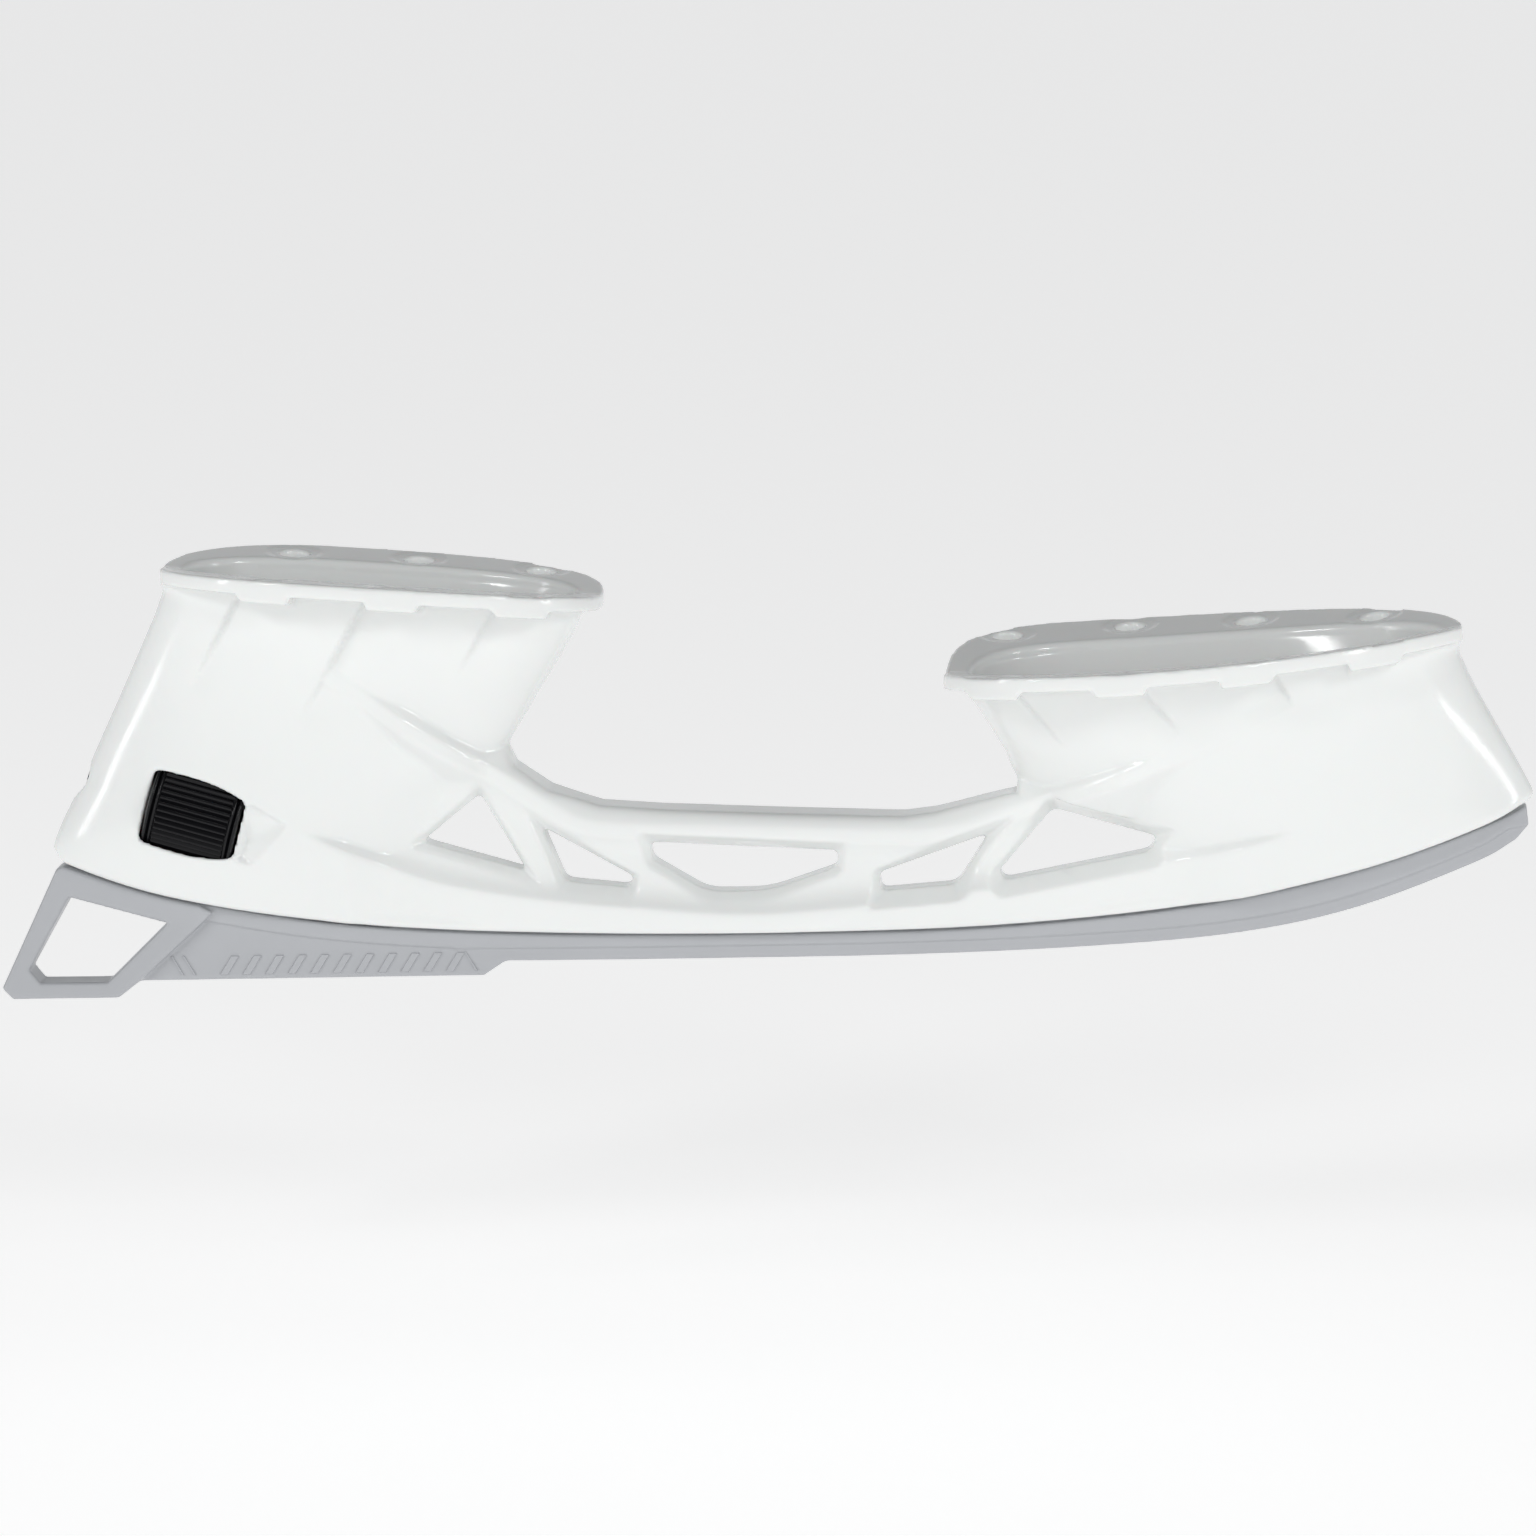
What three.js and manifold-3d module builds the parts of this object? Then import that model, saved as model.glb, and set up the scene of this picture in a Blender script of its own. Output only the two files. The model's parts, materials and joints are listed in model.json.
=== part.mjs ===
// Ice hockey blade holder with a thumbwheel blade lock and a moulded blank runner.
// Millimetres. +X points to the toe, +Z points up and -Y is the near side. The origin is the middle of the
// heel flange, level with the outer rims of its two wings.
import * as THREE from 'three';
import { mergeVertices } from 'three/addons/utils/BufferGeometryUtils.js';
import Module from 'manifold-3d';

const wasm = await Module();
wasm.setup();

// ---------------------------------------------------------------- driving dimensions
const GAP = 0.3; // between pieces that touch
const DEG = Math.PI / 180;

// The wings of a flange rise outward from its ridge line, as a boot sole needs. The ridge is a parabola:
// start z, slope and bend at x. Half widths follow superellipses.
const FLANGE = {
  plate: 2.8,
  boss: 4.2, // plate and boss together, under each rivet hole
  bossWidth: 9.4,
  rivetHole: 5.3,
};
const HEEL = {
  rear: -40.6,
  widest: -9,
  front: 40.6,
  halfWidth: 25.4,
  rearPower: 2.25,
  frontPower: 2.87,
  ridge: { x: 0, z: -2.3, slope: -0.0524, bend: 0 },
  strips: 1,
  wing: 5.1,
  rivets: [[-18.6, 18.2], [4.6, 19.2], [27.7, 16.6]],
};
const TOE = {
  rear: 103.4,
  widest: 137,
  front: 197.4,
  halfWidth: 34.8,
  rearPower: 3.1,
  frontPower: 1.95,
  ridge: { x: 105, z: -18.1, slope: 0, bend: 0.00113 },
  strips: 9, // flat strips that follow the bend
  wing: 7.0,
  rivets: [[113.6, 25.9], [136.3, 29.5], [158.7, 26.3], [181.6, 17.9]],
};

// Towers: levels from the flange down. rear, front and widest are along X, half is the half width.
const WALL = 2.8;
const LEVEL_KEYS = ['z', 'tilt', 'rear', 'front', 'widest', 'half', 'rearPower', 'frontPower'];
function levelOf(row) {
  return Object.fromEntries(LEVEL_KEYS.map((key, i) => [key, row[i]]));
}
const HEEL_TOWER = {
  cupFloor: -29,
  levels: [
    [-3.2, -3.0, -39.2, 38.2, -6, 16.2, 2.4, 2.6],
    [-11, -2.0, -43.2, 35.6, -8, 13.4, 2.4, 2.5],
    [-22, 0, -48.2, 29.6, -11, 11.3, 2.4, 2.4],
    [-33, 0, -53.3, 22.8, -16, 10.6, 2.4, 2.2],
    [-42, 0, -57.4, 12.5, -22, 10.5, 2.4, 2.0],
    [-51, 0, -61.6, 7.5, -26, 10.0, 2.4, 1.9],
    [-60, 0, -62.0, 6, -28, 7.2, 2.4, 1.9],
    [-68, 0, -62.0, 4, -28, 4.6, 2.4, 1.9],
  ].map(levelOf),
};
const TOE_TOWER = {
  cupFloor: -34,
  levels: [
    [-14.7, 5.7, 105.6, 196.0, 138, 22.6, 2.8, 2.0],
    [-22, 3.0, 109.4, 200.5, 141, 18.6, 2.5, 1.9],
    [-31, 1.5, 114.3, 206.4, 147, 14.6, 2.3, 1.8],
    [-38, 0, 117.8, 210.6, 154, 12.0, 1.9, 1.8],
    [-44, 0, 131, 213, 162, 10.2, 1.8, 1.9],
    [-52, 0, 140, 214, 168, 7.8, 1.8, 2.0],
    [-62, 0, 140, 214, 168, 5.2, 1.8, 2.0],
  ].map(levelOf),
};

// Side view curves, as [x, z].
const SOLE_LINE = [
  [-59.4, -55.0], [-40, -60.7], [-15, -64.8], [10, -66.5], [42, -66.8], [80, -65.9],
  [114, -64.2], [150, -59.8], [178, -53.2], [201, -44.8], [210.6, -39.8],
];
const HEEL_SPINE = [[-39.2, -1], [-41.8, -9], [-47.6, -21.5], [-53.4, -34.5], [-59.2, -46.6], [-61.6, -52.2]];
const TOE_PROW = [[211.3, -38.6], [205.4, -28.8], [199.8, -18.9], [197.2, -13.6], [196.6, -8]];
const BRIDGE_TOP = [
  [38.4, -5], [35.6, -11.5], [30, -21.4], [23.4, -32.2], [24.6, -35.8], [31, -40.2], [40.4, -43.0],
  [52, -43.6], [72, -44.0], [96, -44.3], [102, -43.4], [110, -41.2], [116.6, -39.6], [116.9, -37.4],
  [108.9, -23.4], [105.4, -17],
];
const UPPER_BEAM_RIDGE = [
  [-4, -21.5], [8, -29.6], [20, -37.6], [33, -45.2], [42, -46.3], [96, -46.8], [110, -44.2], [126, -38.6],
  [144, -30.8],
];
const LOWER_BEAM_RIDGE = [
  [-15, -47.2], [-3, -52.4], [10, -56.9], [28, -59.8], [48, -61.4], [70, -62.2], [98, -59.2], [125, -54.6],
  [151, -50.0], [170, -44.2],
];
const WINDOWS = [
  [[7.4, -50.4], [18.2, -41.3], [26.8, -55.6]],
  [[29.4, -47.2], [46.6, -56.4], [45.6, -58.4], [33.8, -57.4]],
  [[49.6, -49.9], [84.0, -51.0], [84.0, -54.0], [71, -58.7], [60, -58.9], [49.6, -53.0]],
  [[91.6, -55.0], [111.8, -47.4], [105.8, -57.0], [92.0, -58.4]],
  [[113.4, -54.6], [123.4, -42.6], [142.4, -47.6], [141.2, -50.4], [114.6, -56.2]],
];
const WINDOW_CORNER = 1.1;
const WEB_HALF = 3.2;
const WEB = [
  [0, -62], [60, -64], [120, -62], [160, -50], [150, -40], [118, -42], [98, -48], [42, -48], [30, -45],
  [6, -32], [-5, -40],
];
// The lower beam's half widths, and how far above its ridge it meets the web.
const LOWER_BEAM = { ridge: 7, belly: 5.6, foot: 5.1, shoulder: 3 };
// The upper beam's section as [y, height above its ridge].
const UPPER_BEAM_SECTION = [[WEB_HALF, -3.6], [-WEB_HALF, -3.6], [-6.4, 0], [-5, 4.5], [5, 4.5], [6.4, 0]];

// Blade lock: everything turns or slides on one axis that falls toward the toe. Distances along that axis
// are measured from the middle of the thumbwheel, and heights at right angles to it.
const LOCK = { x: -34.1, z: -45.3, tilt: 14.9, travel: 5 };
const WHEEL = {
  radius: 10.8, length: 17, rim: 1.9, chamfer: 0.5, ribs: 54, ribDepth: 0.45, ribInset: 0.25, room: 0.4,
};
const ROD = { radius: 3, rearEnd: -WHEEL.length / 2 - 5.1 };
const NUT = { radius: ROD.radius + 1.6, length: WHEEL.length - 1.6, sides: 12 };
const WASHER = { radius: NUT.radius + 1.8, thickness: 0.8 };
const CLIP = { radius: ROD.radius + 1.5, thickness: 0.8, inset: 0.4 };
const CAGE = { wall: 0.9, endPlate: 1.6, halfWidth: 7.6, split: 0.15 };
const CLICK = { halfLength: 2.2, halfWidth: 4.8, thickness: 0.4 };
const BUSH = { radius: ROD.radius + 2, length: 4.2 };
const PLUG = { face: -21.2, radius: 2.8, head: 3.5, headLength: 1.2, length: 2.2 };
const HOOK = { half: 2, arm: 2.6, fingerFrom: 30, fingerTo: 34.4, toe: 2.5, toeHeight: 2.6, drop: 10 };
const HOOK_ROOM = 0.6;
const WINDOW = { halfHeight: 7, endGap: 0.4 };
const SCOOP = { radius: 9, scale: [0.9, 1, 0.85], x: -21.6, y: 16.6, z: -47.6 };

// Runner: a T-shaped rail that hangs on a thin tongue with two lugs.
const RUNNER = {
  seatGap: 0.6, bandHalf: 2.3, edgeHalf: 1.6, tongueHalf: 1.5, tongue: 3.6, edgeDepth: 2.4, heelBand: 3.8,
};
const SLOT = { half: RUNNER.tongueHalf + 0.4, headroom: 0.6 };
const TONGUES = [[-56, -47], [1, 196]];
const RAIL_EDGE = [
  [14, -72.9], [36, -72.4], [57.6, -71.8], [96.3, -70.5], [129.4, -68.5], [156.8, -65.6], [178.6, -60.6],
  [200.3, -51.9], [207.6, -47.6],
];
const RAIL_TIP = [[209.9, -44.8], [209.5, -41.6]];
const PLATE_EDGE = [[-46.5, -77.5], [18.6, -75.5], [23.2, -72.3], [20, -69], [-31, -64]];
const HANDLE = {
  half: 3.6,
  outer: [[-60.6, -56.4], [-71.0, -79.0], [-69.0, -81.0], [-49.2, -80.4], [-45.2, -77.2], [-31.4, -64.2]],
  inner: [[-58.2, -61.6], [-65.8, -75.4], [-63.8, -77.8], [-51.2, -77.5], [-40.0, -66.2]],
};
const REAR_LUG = [
  [-20.4, -66], [-20.4, -58], [-17.4, -56.6], [-12.1, -55.0], [-12.1, -57.8], [-15.3, -57.8], [-15.3, -66],
];
const FRONT_LUG = { x: 184, width: 9, height: 6.5, lean: 0.8, room: 2 };

// ---------------------------------------------------------------- shape helpers
function solid(geometry) {
  const bare = geometry.clone();
  for (const name of Object.keys(bare.attributes)) {
    if (name !== 'position') bare.deleteAttribute(name);
  }
  const merged = mergeVertices(bare, 1e-4);
  const mesh = new wasm.Mesh({
    numProp: 3,
    vertProperties: new Float32Array(merged.attributes.position.array),
    triVerts: new Uint32Array(merged.index.array),
  });
  return new wasm.Manifold(mesh);
}

function geometryOf(body) {
  const mesh = body.getMesh();
  const geometry = new THREE.BufferGeometry();
  geometry.setAttribute('position', new THREE.BufferAttribute(new Float32Array(mesh.vertProperties), 3));
  geometry.setIndex(new THREE.BufferAttribute(new Uint32Array(mesh.triVerts), 1));
  return geometry;
}

function unite(bodies) {
  return bodies.reduce((all, body) => all.add(body));
}

function shapeOf(points) {
  return new THREE.Shape(points.map(([a, b]) => new THREE.Vector2(a, b)));
}

// A side view outline of [x, z] points, as thick as 2 * half about Y = 0.
function slab(points, half) {
  const geometry = new THREE.ExtrudeGeometry(shapeOf(points), { depth: 2 * half, bevelEnabled: false });
  geometry.rotateX(Math.PI / 2);
  geometry.translate(0, half, 0);
  return solid(geometry);
}

function smooth(points, steps) {
  const curve = new THREE.SplineCurve(points.map(([a, b]) => new THREE.Vector2(a, b)));
  return curve.getPoints(steps).map((p) => [p.x, p.y]);
}

function roundCorners(points, radius) {
  const rounded = [];
  points.forEach((point, i) => {
    const corner = new THREE.Vector2(...point);
    const before = new THREE.Vector2(...points[(i + points.length - 1) % points.length]).sub(corner);
    const after = new THREE.Vector2(...points[(i + 1) % points.length]).sub(corner);
    const reach = Math.min(radius * 1.6, before.length() / 2.5, after.length() / 2.5);
    const start = corner.clone().addScaledVector(before.normalize(), reach);
    const end = corner.clone().addScaledVector(after.normalize(), reach);
    const arc = new THREE.QuadraticBezierCurve(start, corner, end);
    rounded.push(...arc.getPoints(3).map((p) => [p.x, p.y]));
  });
  return rounded;
}

// Points of an egg: two half superellipses with a common half width, as [x, y].
function egg({ rear, widest, front, half, rearPower, frontPower }, count) {
  const points = [];
  for (let i = 0; i < count; i += 1) {
    const angle = (2 * Math.PI * (i + 0.5)) / count;
    const c = Math.cos(angle);
    const s = Math.sin(angle);
    const power = c < 0 ? rearPower : frontPower;
    const reach = c < 0 ? widest - rear : front - widest;
    const along = Math.sign(c) * Math.abs(c) ** (2 / power);
    const across = Math.sign(s) * Math.abs(s) ** (2 / power);
    points.push([widest + reach * along, half * across]);
  }
  return points;
}

// A closed body through rings of the same number of points, with flat fans at both ends.
function loft(rings) {
  const count = rings[0].length;
  const vertices = rings.flat();
  const faces = [];
  const quad = (a, b, c, d) => faces.push(a, b, c, a, c, d);
  for (let k = 0; k + 1 < rings.length; k += 1) {
    for (let i = 0; i < count; i += 1) {
      const j = (i + 1) % count;
      quad((k + 1) * count + i, (k + 1) * count + j, k * count + j, k * count + i);
    }
  }
  for (const [ring, first] of [[0, true], [rings.length - 1, false]]) {
    const centre = new THREE.Vector3();
    rings[ring].forEach((p) => centre.add(p));
    vertices.push(centre.divideScalar(count));
    const hub = vertices.length - 1;
    for (let i = 0; i < count; i += 1) {
      const a = ring * count + i;
      const b = ring * count + ((i + 1) % count);
      if (first) faces.push(hub, a, b);
      else faces.push(hub, b, a);
    }
  }
  const geometry = new THREE.BufferGeometry().setFromPoints(vertices);
  geometry.setIndex(faces);
  return solid(geometry);
}

// A round profile of [radius, along] points turned about the X axis.
function turned(profile, segments = 40) {
  const geometry = new THREE.LatheGeometry(profile.map(([r, x]) => new THREE.Vector2(r, x)), segments);
  geometry.rotateZ(-Math.PI / 2);
  return solid(geometry);
}

function rod(radius, from, to, segments = 32) {
  return turned([[0, from], [radius, from], [radius, to], [0, to]], segments);
}

function ring(inner, outer, from, to, segments = 32) {
  return turned([[inner, from], [outer, from], [outer, to], [inner, to], [inner, from]], segments);
}

function box(x0, x1, y0, y1, z0, z1) {
  const geometry = new THREE.BoxGeometry(x1 - x0, y1 - y0, z1 - z0);
  geometry.translate((x0 + x1) / 2, (y0 + y1) / 2, (z0 + z1) / 2);
  return solid(geometry);
}

// From the lock's own frame (X along its axis) to the frame of the whole part.
const lockMatrix = new THREE.Matrix4().makeRotationY(LOCK.tilt * DEG).setPosition(LOCK.x, 0, LOCK.z);
function placed(body) {
  return solid(geometryOf(body).applyMatrix4(lockMatrix));
}

// Height of a point along the normal of a curve: shifts a polyline of [x, z] sideways.
function offset(points, distance) {
  return points.map((point, i) => {
    const a = points[Math.max(i - 1, 0)];
    const b = points[Math.min(i + 1, points.length - 1)];
    const length = Math.hypot(b[0] - a[0], b[1] - a[1]);
    return [point[0] - (distance * (b[1] - a[1])) / length, point[1] + (distance * (b[0] - a[0])) / length];
  });
}

function heightOn(line, x) {
  const i = line.findIndex((point, k) => k > 0 && point[0] >= x);
  const a = line[i - 1];
  const b = line[i];
  return a[1] + ((b[1] - a[1]) * (x - a[0])) / (b[0] - a[0]);
}

// A polyline's stretch between two places along X, ends included.
function stretch(line, from, to) {
  const inner = line.filter(([x]) => x > from + 0.1 && x < to - 0.1);
  return [[from, heightOn(line, from)], ...inner, [to, heightOn(line, to)]];
}

// ---------------------------------------------------------------- shared outlines
const soleLine = smooth(SOLE_LINE, 40);

function ridgeHeight({ ridge }, x) {
  const along = x - ridge.x;
  return ridge.z + ridge.slope * along + ridge.bend * along * along;
}

// Shears a flat plate so that its top follows the flange's ridge and its wings' rise.
function ontoFlange(body, flange) {
  const geometry = geometryOf(body);
  const points = geometry.attributes.position;
  const wing = Math.tan(flange.wing * DEG);
  for (let i = 0; i < points.count; i += 1) {
    const lift = ridgeHeight(flange, points.getX(i)) + wing * Math.abs(points.getY(i));
    points.setZ(i, points.getZ(i) + lift);
  }
  return solid(geometry);
}

function halfFlange(flange, depth, side) {
  const points = egg({ ...flange, half: flange.halfWidth }, 48).filter(([, y]) => y * side > 0);
  if (side < 0) points.reverse();
  const first = points[0];
  const last = points[points.length - 1];
  const outline = [[first[0], 0], ...points, [last[0], 0]];
  const geometry = new THREE.ExtrudeGeometry(shapeOf(outline), { depth, bevelEnabled: false });
  geometry.translate(0, 0, -depth);
  return solid(geometry);
}

function flangeBody(flange) {
  const stripLength = (flange.front - flange.rear) / flange.strips;
  const sides = [1, -1].map((side) => {
    const plate = halfFlange(flange, FLANGE.plate, side);
    const blocks = flange.rivets.map(([x, y]) => {
      const reach = FLANGE.bossWidth / 2;
      return box(x - reach, x + reach, side > 0 ? y - reach : -90, side > 0 ? 90 : reach - y, -20, 20);
    });
    const bosses = halfFlange(flange, FLANGE.boss, side).intersect(unite(blocks));
    const flat = plate.add(bosses);
    const strips = [];
    for (let k = 0; k < flange.strips; k += 1) {
      const from = flange.rear + k * stripLength;
      strips.push(ontoFlange(flat.intersect(box(from, from + stripLength, -60, 60, -20, 20)), flange));
    }
    return unite(strips);
  });
  return sides[0].add(sides[1]);
}

function rivetHoles(flange) {
  const holes = [];
  for (const [x, y] of flange.rivets) {
    for (const side of [1, -1]) {
      const hole = new THREE.CylinderGeometry(FLANGE.rivetHole / 2, FLANGE.rivetHole / 2, 40, 16);
      hole.rotateX(Math.PI / 2 - side * flange.wing * DEG);
      hole.translate(x, side * y, ridgeHeight(flange, x));
      holes.push(solid(hole));
    }
  }
  return unite(holes);
}

// Rings of a tower, drawn in by the wall for the cup inside it.
function towerRings(levels, inset, count) {
  return levels.map((level) => {
    const outline = egg({
      ...level,
      rear: level.rear + inset,
      front: level.front - inset,
      half: level.half - inset,
    }, count);
    const middle = (level.rear + level.front) / 2;
    const rise = Math.tan(level.tilt * DEG);
    return outline.map(([x, y]) => new THREE.Vector3(x, y, level.z + rise * (x - middle)));
  });
}

function levelAt(levels, z) {
  const below = levels.findIndex((level) => level.z <= z);
  const a = levels[below - 1];
  const b = levels[below];
  const t = (a.z - z) / (a.z - b.z);
  const mixed = {};
  for (const key of Object.keys(a)) mixed[key] = a[key] + (b[key] - a[key]) * t;
  return { ...mixed, z, tilt: 0 };
}

function cup(tower) {
  const open = tower.levels.filter((level) => level.z > tower.cupFloor);
  const top = { ...open[0], z: open[0].z + 12 };
  const floor = levelAt(tower.levels, tower.cupFloor);
  const narrowed = { ...floor, rear: floor.rear + 2, front: floor.front - 2 };
  return loft(towerRings([top, ...open, narrowed], WALL, 36));
}

function beam(ridge, profile, steps) {
  const path = smooth(ridge, steps);
  const rings = path.map((point, i) => {
    const a = path[Math.max(i - 1, 0)];
    const b = path[Math.min(i + 1, path.length - 1)];
    const length = Math.hypot(b[0] - a[0], b[1] - a[1]);
    const nx = -(b[1] - a[1]) / length;
    const nz = (b[0] - a[0]) / length;
    return profile.map(([y, n]) => new THREE.Vector3(point[0] + nx * n, y, point[1] + nz * n));
  });
  return loft(rings);
}

// ---------------------------------------------------------------- holder
// The side view outline that trims the towers and beams.
function sideOutline() {
  return [
    ...[...HEEL_SPINE].reverse(),
    [-45, 9],
    [45, 9],
    ...BRIDGE_TOP,
    [101, 9],
    [205, 9],
    ...[...TOE_PROW].reverse(),
    ...[...soleLine].reverse(),
  ].reverse();
}

function lowerBeam() {
  const top = smooth(LOWER_BEAM_RIDGE, 24);
  const rings = top.map(([x, z]) => {
    const sole = heightOn(soleLine, x) - 1;
    const middle = (z + sole) / 2;
    const { ridge, belly, foot, shoulder } = LOWER_BEAM;
    const section = [
      [ridge, z], [belly, middle], [foot, sole], [-foot, sole], [-belly, middle], [-ridge, z],
      [-WEB_HALF, z + shoulder], [WEB_HALF, z + shoulder],
    ];
    return section.map(([y, height]) => new THREE.Vector3(x, y, height));
  });
  return loft(rings);
}

function lockSizes() {
  const cageInner = WHEEL.radius + WHEEL.room;
  const cageOuter = cageInner + CAGE.wall;
  const plateFrom = WHEEL.length / 2 + WASHER.thickness + 2 * GAP;
  const plateTo = plateFrom + CAGE.endPlate;
  return { cageInner, cageOuter, plateFrom, plateTo, roomRadius: cageOuter + GAP, roomHalf: plateTo + GAP };
}
const lock = lockSizes();

function lockSpaces() {
  const skin = CAGE.halfWidth + GAP;
  const windowHalf = WHEEL.length / 2 + WINDOW.endGap;
  const room = rod(lock.roomRadius, -lock.roomHalf, lock.roomHalf, 40)
    .intersect(box(-20, 20, -skin, skin, -20, 20));
  const wheelRoom = rod(lock.cageInner, -windowHalf, windowHalf, 40);
  const window = box(-windowHalf, windowHalf, -30, 30, -WINDOW.halfHeight, WINDOW.halfHeight);
  const clipRear = ROD.rearEnd - LOCK.travel - CLIP.inset;
  const clipRoom = rod(CLIP.radius + GAP, clipRear, -lock.roomHalf + 1);
  const plugBore = rod(PLUG.radius + GAP, PLUG.face - 1, clipRear + 1);
  const plugSeat = rod(PLUG.head + GAP, PLUG.face - 9, PLUG.face + PLUG.headLength + GAP);
  const bushBore = rod(BUSH.radius + GAP, lock.roomHalf - 1, lock.roomHalf + BUSH.length + 2 * GAP);
  const rodBore = rod(ROD.radius + 2 * GAP, lock.roomHalf, HOOK.fingerFrom - HOOK.toe);
  const hookRoom = box(
    HOOK.fingerFrom - HOOK.toe - LOCK.travel - HOOK_ROOM, HOOK.fingerTo + HOOK_ROOM,
    -HOOK.half - HOOK_ROOM, HOOK.half + HOOK_ROOM, -HOOK.drop - HOOK_ROOM, ROD.radius + HOOK_ROOM,
  );
  return [room, wheelRoom, window, clipRoom, plugBore, plugSeat, bushBore, rodBore, hookRoom].map(placed);
}

// A finger reaches the wheel's lower front edge through a dished scoop on each side.
function scoops() {
  const finger = new THREE.SphereGeometry(SCOOP.radius, 20, 14);
  finger.scale(...SCOOP.scale);
  return [1, -1].map((side) => solid(finger.clone().translate(SCOOP.x, side * SCOOP.y, SCOOP.z)));
}

// The lug at the toe leans to the rear, so that a pull toward the heel seats it. room widens its pocket.
function frontLug(room) {
  const { x, width, height, lean } = FRONT_LUG;
  const sole = heightOn(soleLine, x);
  const rear = x - width / 2 - room;
  const front = x + width / 2 + (room > 0 ? FRONT_LUG.room : 0);
  const top = sole + height + room;
  return [[rear, sole + 1], [rear - lean, top], [front - lean, top], [front, sole + 1]];
}

function slot() {
  const grooves = TONGUES.map(([from, to]) => {
    const line = stretch(soleLine, from - 1, to + 1);
    const below = line.map(([x, z]) => [x, z - 3]);
    return slab([...below, ...offset(line, RUNNER.tongue + SLOT.headroom).reverse()], SLOT.half);
  });
  const lugTop = Math.max(...REAR_LUG.map(([, z]) => z)) + 1;
  const lugX = REAR_LUG.map(([x]) => x);
  const [rear, front] = [Math.min(...lugX) - 1, Math.max(...lugX) + 1.4];
  const rearRoom = slab([[rear, -68], [front, -68], [front, lugTop], [rear, lugTop]], SLOT.half);
  return [...grooves, rearRoom, slab([...frontLug(SLOT.headroom)].reverse(), SLOT.half)];
}

function holderBody() {
  const towers = [HEEL_TOWER, TOE_TOWER].map((tower) => loft(towerRings(tower.levels, 0, 40)));
  const upper = beam(UPPER_BEAM_RIDGE, UPPER_BEAM_SECTION, 24);
  const web = slab(WEB, WEB_HALF);
  const trimmed = unite([...towers, upper, lowerBeam(), web]).intersect(slab(sideOutline(), 60));
  const windows = WINDOWS.map((points) => slab(roundCorners(points, WINDOW_CORNER), 20));
  const cuts = [...windows, cup(HEEL_TOWER), cup(TOE_TOWER), ...slot(), ...scoops(), ...lockSpaces()];
  return unite([trimmed, flangeBody(HEEL), flangeBody(TOE)])
    .subtract(unite([...cuts, rivetHoles(HEEL), rivetHoles(TOE)]));
}

// ---------------------------------------------------------------- blade lock
// Two clamshell halves line the wheel's chamber and carry its thrust on their end plates.
function cageHalf(side) {
  const shell = ring(lock.cageInner, lock.cageOuter, -lock.plateTo, lock.plateTo, 40);
  const plates = [-1, 1].map((end) => ring(
    ROD.radius + 2 * GAP, lock.cageOuter,
    end < 0 ? -lock.plateTo : lock.plateFrom, end < 0 ? -lock.plateFrom : lock.plateTo, 40,
  ));
  const keep = side > 0
    ? box(-20, 20, -CAGE.halfWidth, CAGE.halfWidth, CAGE.split, 20)
    : box(-20, 20, -CAGE.halfWidth, CAGE.halfWidth, -20, -CAGE.split);
  return unite([shell, ...plates]).intersect(keep);
}

function upperCage() {
  const long = CLICK.halfLength + GAP;
  const wide = CLICK.halfWidth + GAP;
  return cageHalf(1).subtract(box(-long, long, -wide, wide, 5, 20));
}

// A curved leaf in the upper cage clicks over the wheel's ribs.
function clickSpring() {
  const inner = lock.cageInner + 0.1;
  return ring(inner, inner + CLICK.thickness, -CLICK.halfLength, CLICK.halfLength, 40)
    .intersect(box(-20, 20, -CLICK.halfWidth, CLICK.halfWidth, 0, 20));
}

function thumbwheel() {
  const half = WHEEL.length / 2;
  const rim = turned([
    [0, half - WHEEL.rim], [WHEEL.radius, half - WHEEL.rim], [WHEEL.radius, half - WHEEL.chamfer],
    [WHEEL.radius - WHEEL.chamfer, half], [0, half],
  ], WHEEL.ribs);
  const rims = [rim, solid(geometryOf(rim).rotateY(Math.PI))];
  const outline = [];
  for (let i = 0; i < WHEEL.ribs * 2; i += 1) {
    const angle = (Math.PI * i) / WHEEL.ribs;
    const radius = WHEEL.radius - WHEEL.ribInset - (i % 2) * WHEEL.ribDepth;
    outline.push([radius * Math.cos(angle), radius * Math.sin(angle)]);
  }
  const length = WHEEL.length - WHEEL.rim;
  const ribbed = new THREE.ExtrudeGeometry(shapeOf(outline), { depth: length, bevelEnabled: false });
  ribbed.translate(0, 0, -length / 2);
  ribbed.rotateY(Math.PI / 2);
  return unite([solid(ribbed), ...rims]).subtract(rod(NUT.radius + GAP, -half - 1, half + 1, NUT.sides));
}

function wheelNut() {
  const half = NUT.length / 2;
  return rod(NUT.radius, -half, half, NUT.sides).subtract(rod(ROD.radius + GAP, -half - 1, half + 1));
}

function thrustWasher(end) {
  const near = WHEEL.length / 2 + GAP;
  const [from, to] = end < 0 ? [-near - WASHER.thickness, -near] : [near, near + WASHER.thickness];
  return ring(ROD.radius + GAP, WASHER.radius, from, to);
}

function guideBush() {
  const from = lock.roomHalf + GAP;
  return ring(ROD.radius + GAP, BUSH.radius, from, from + BUSH.length);
}

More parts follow.
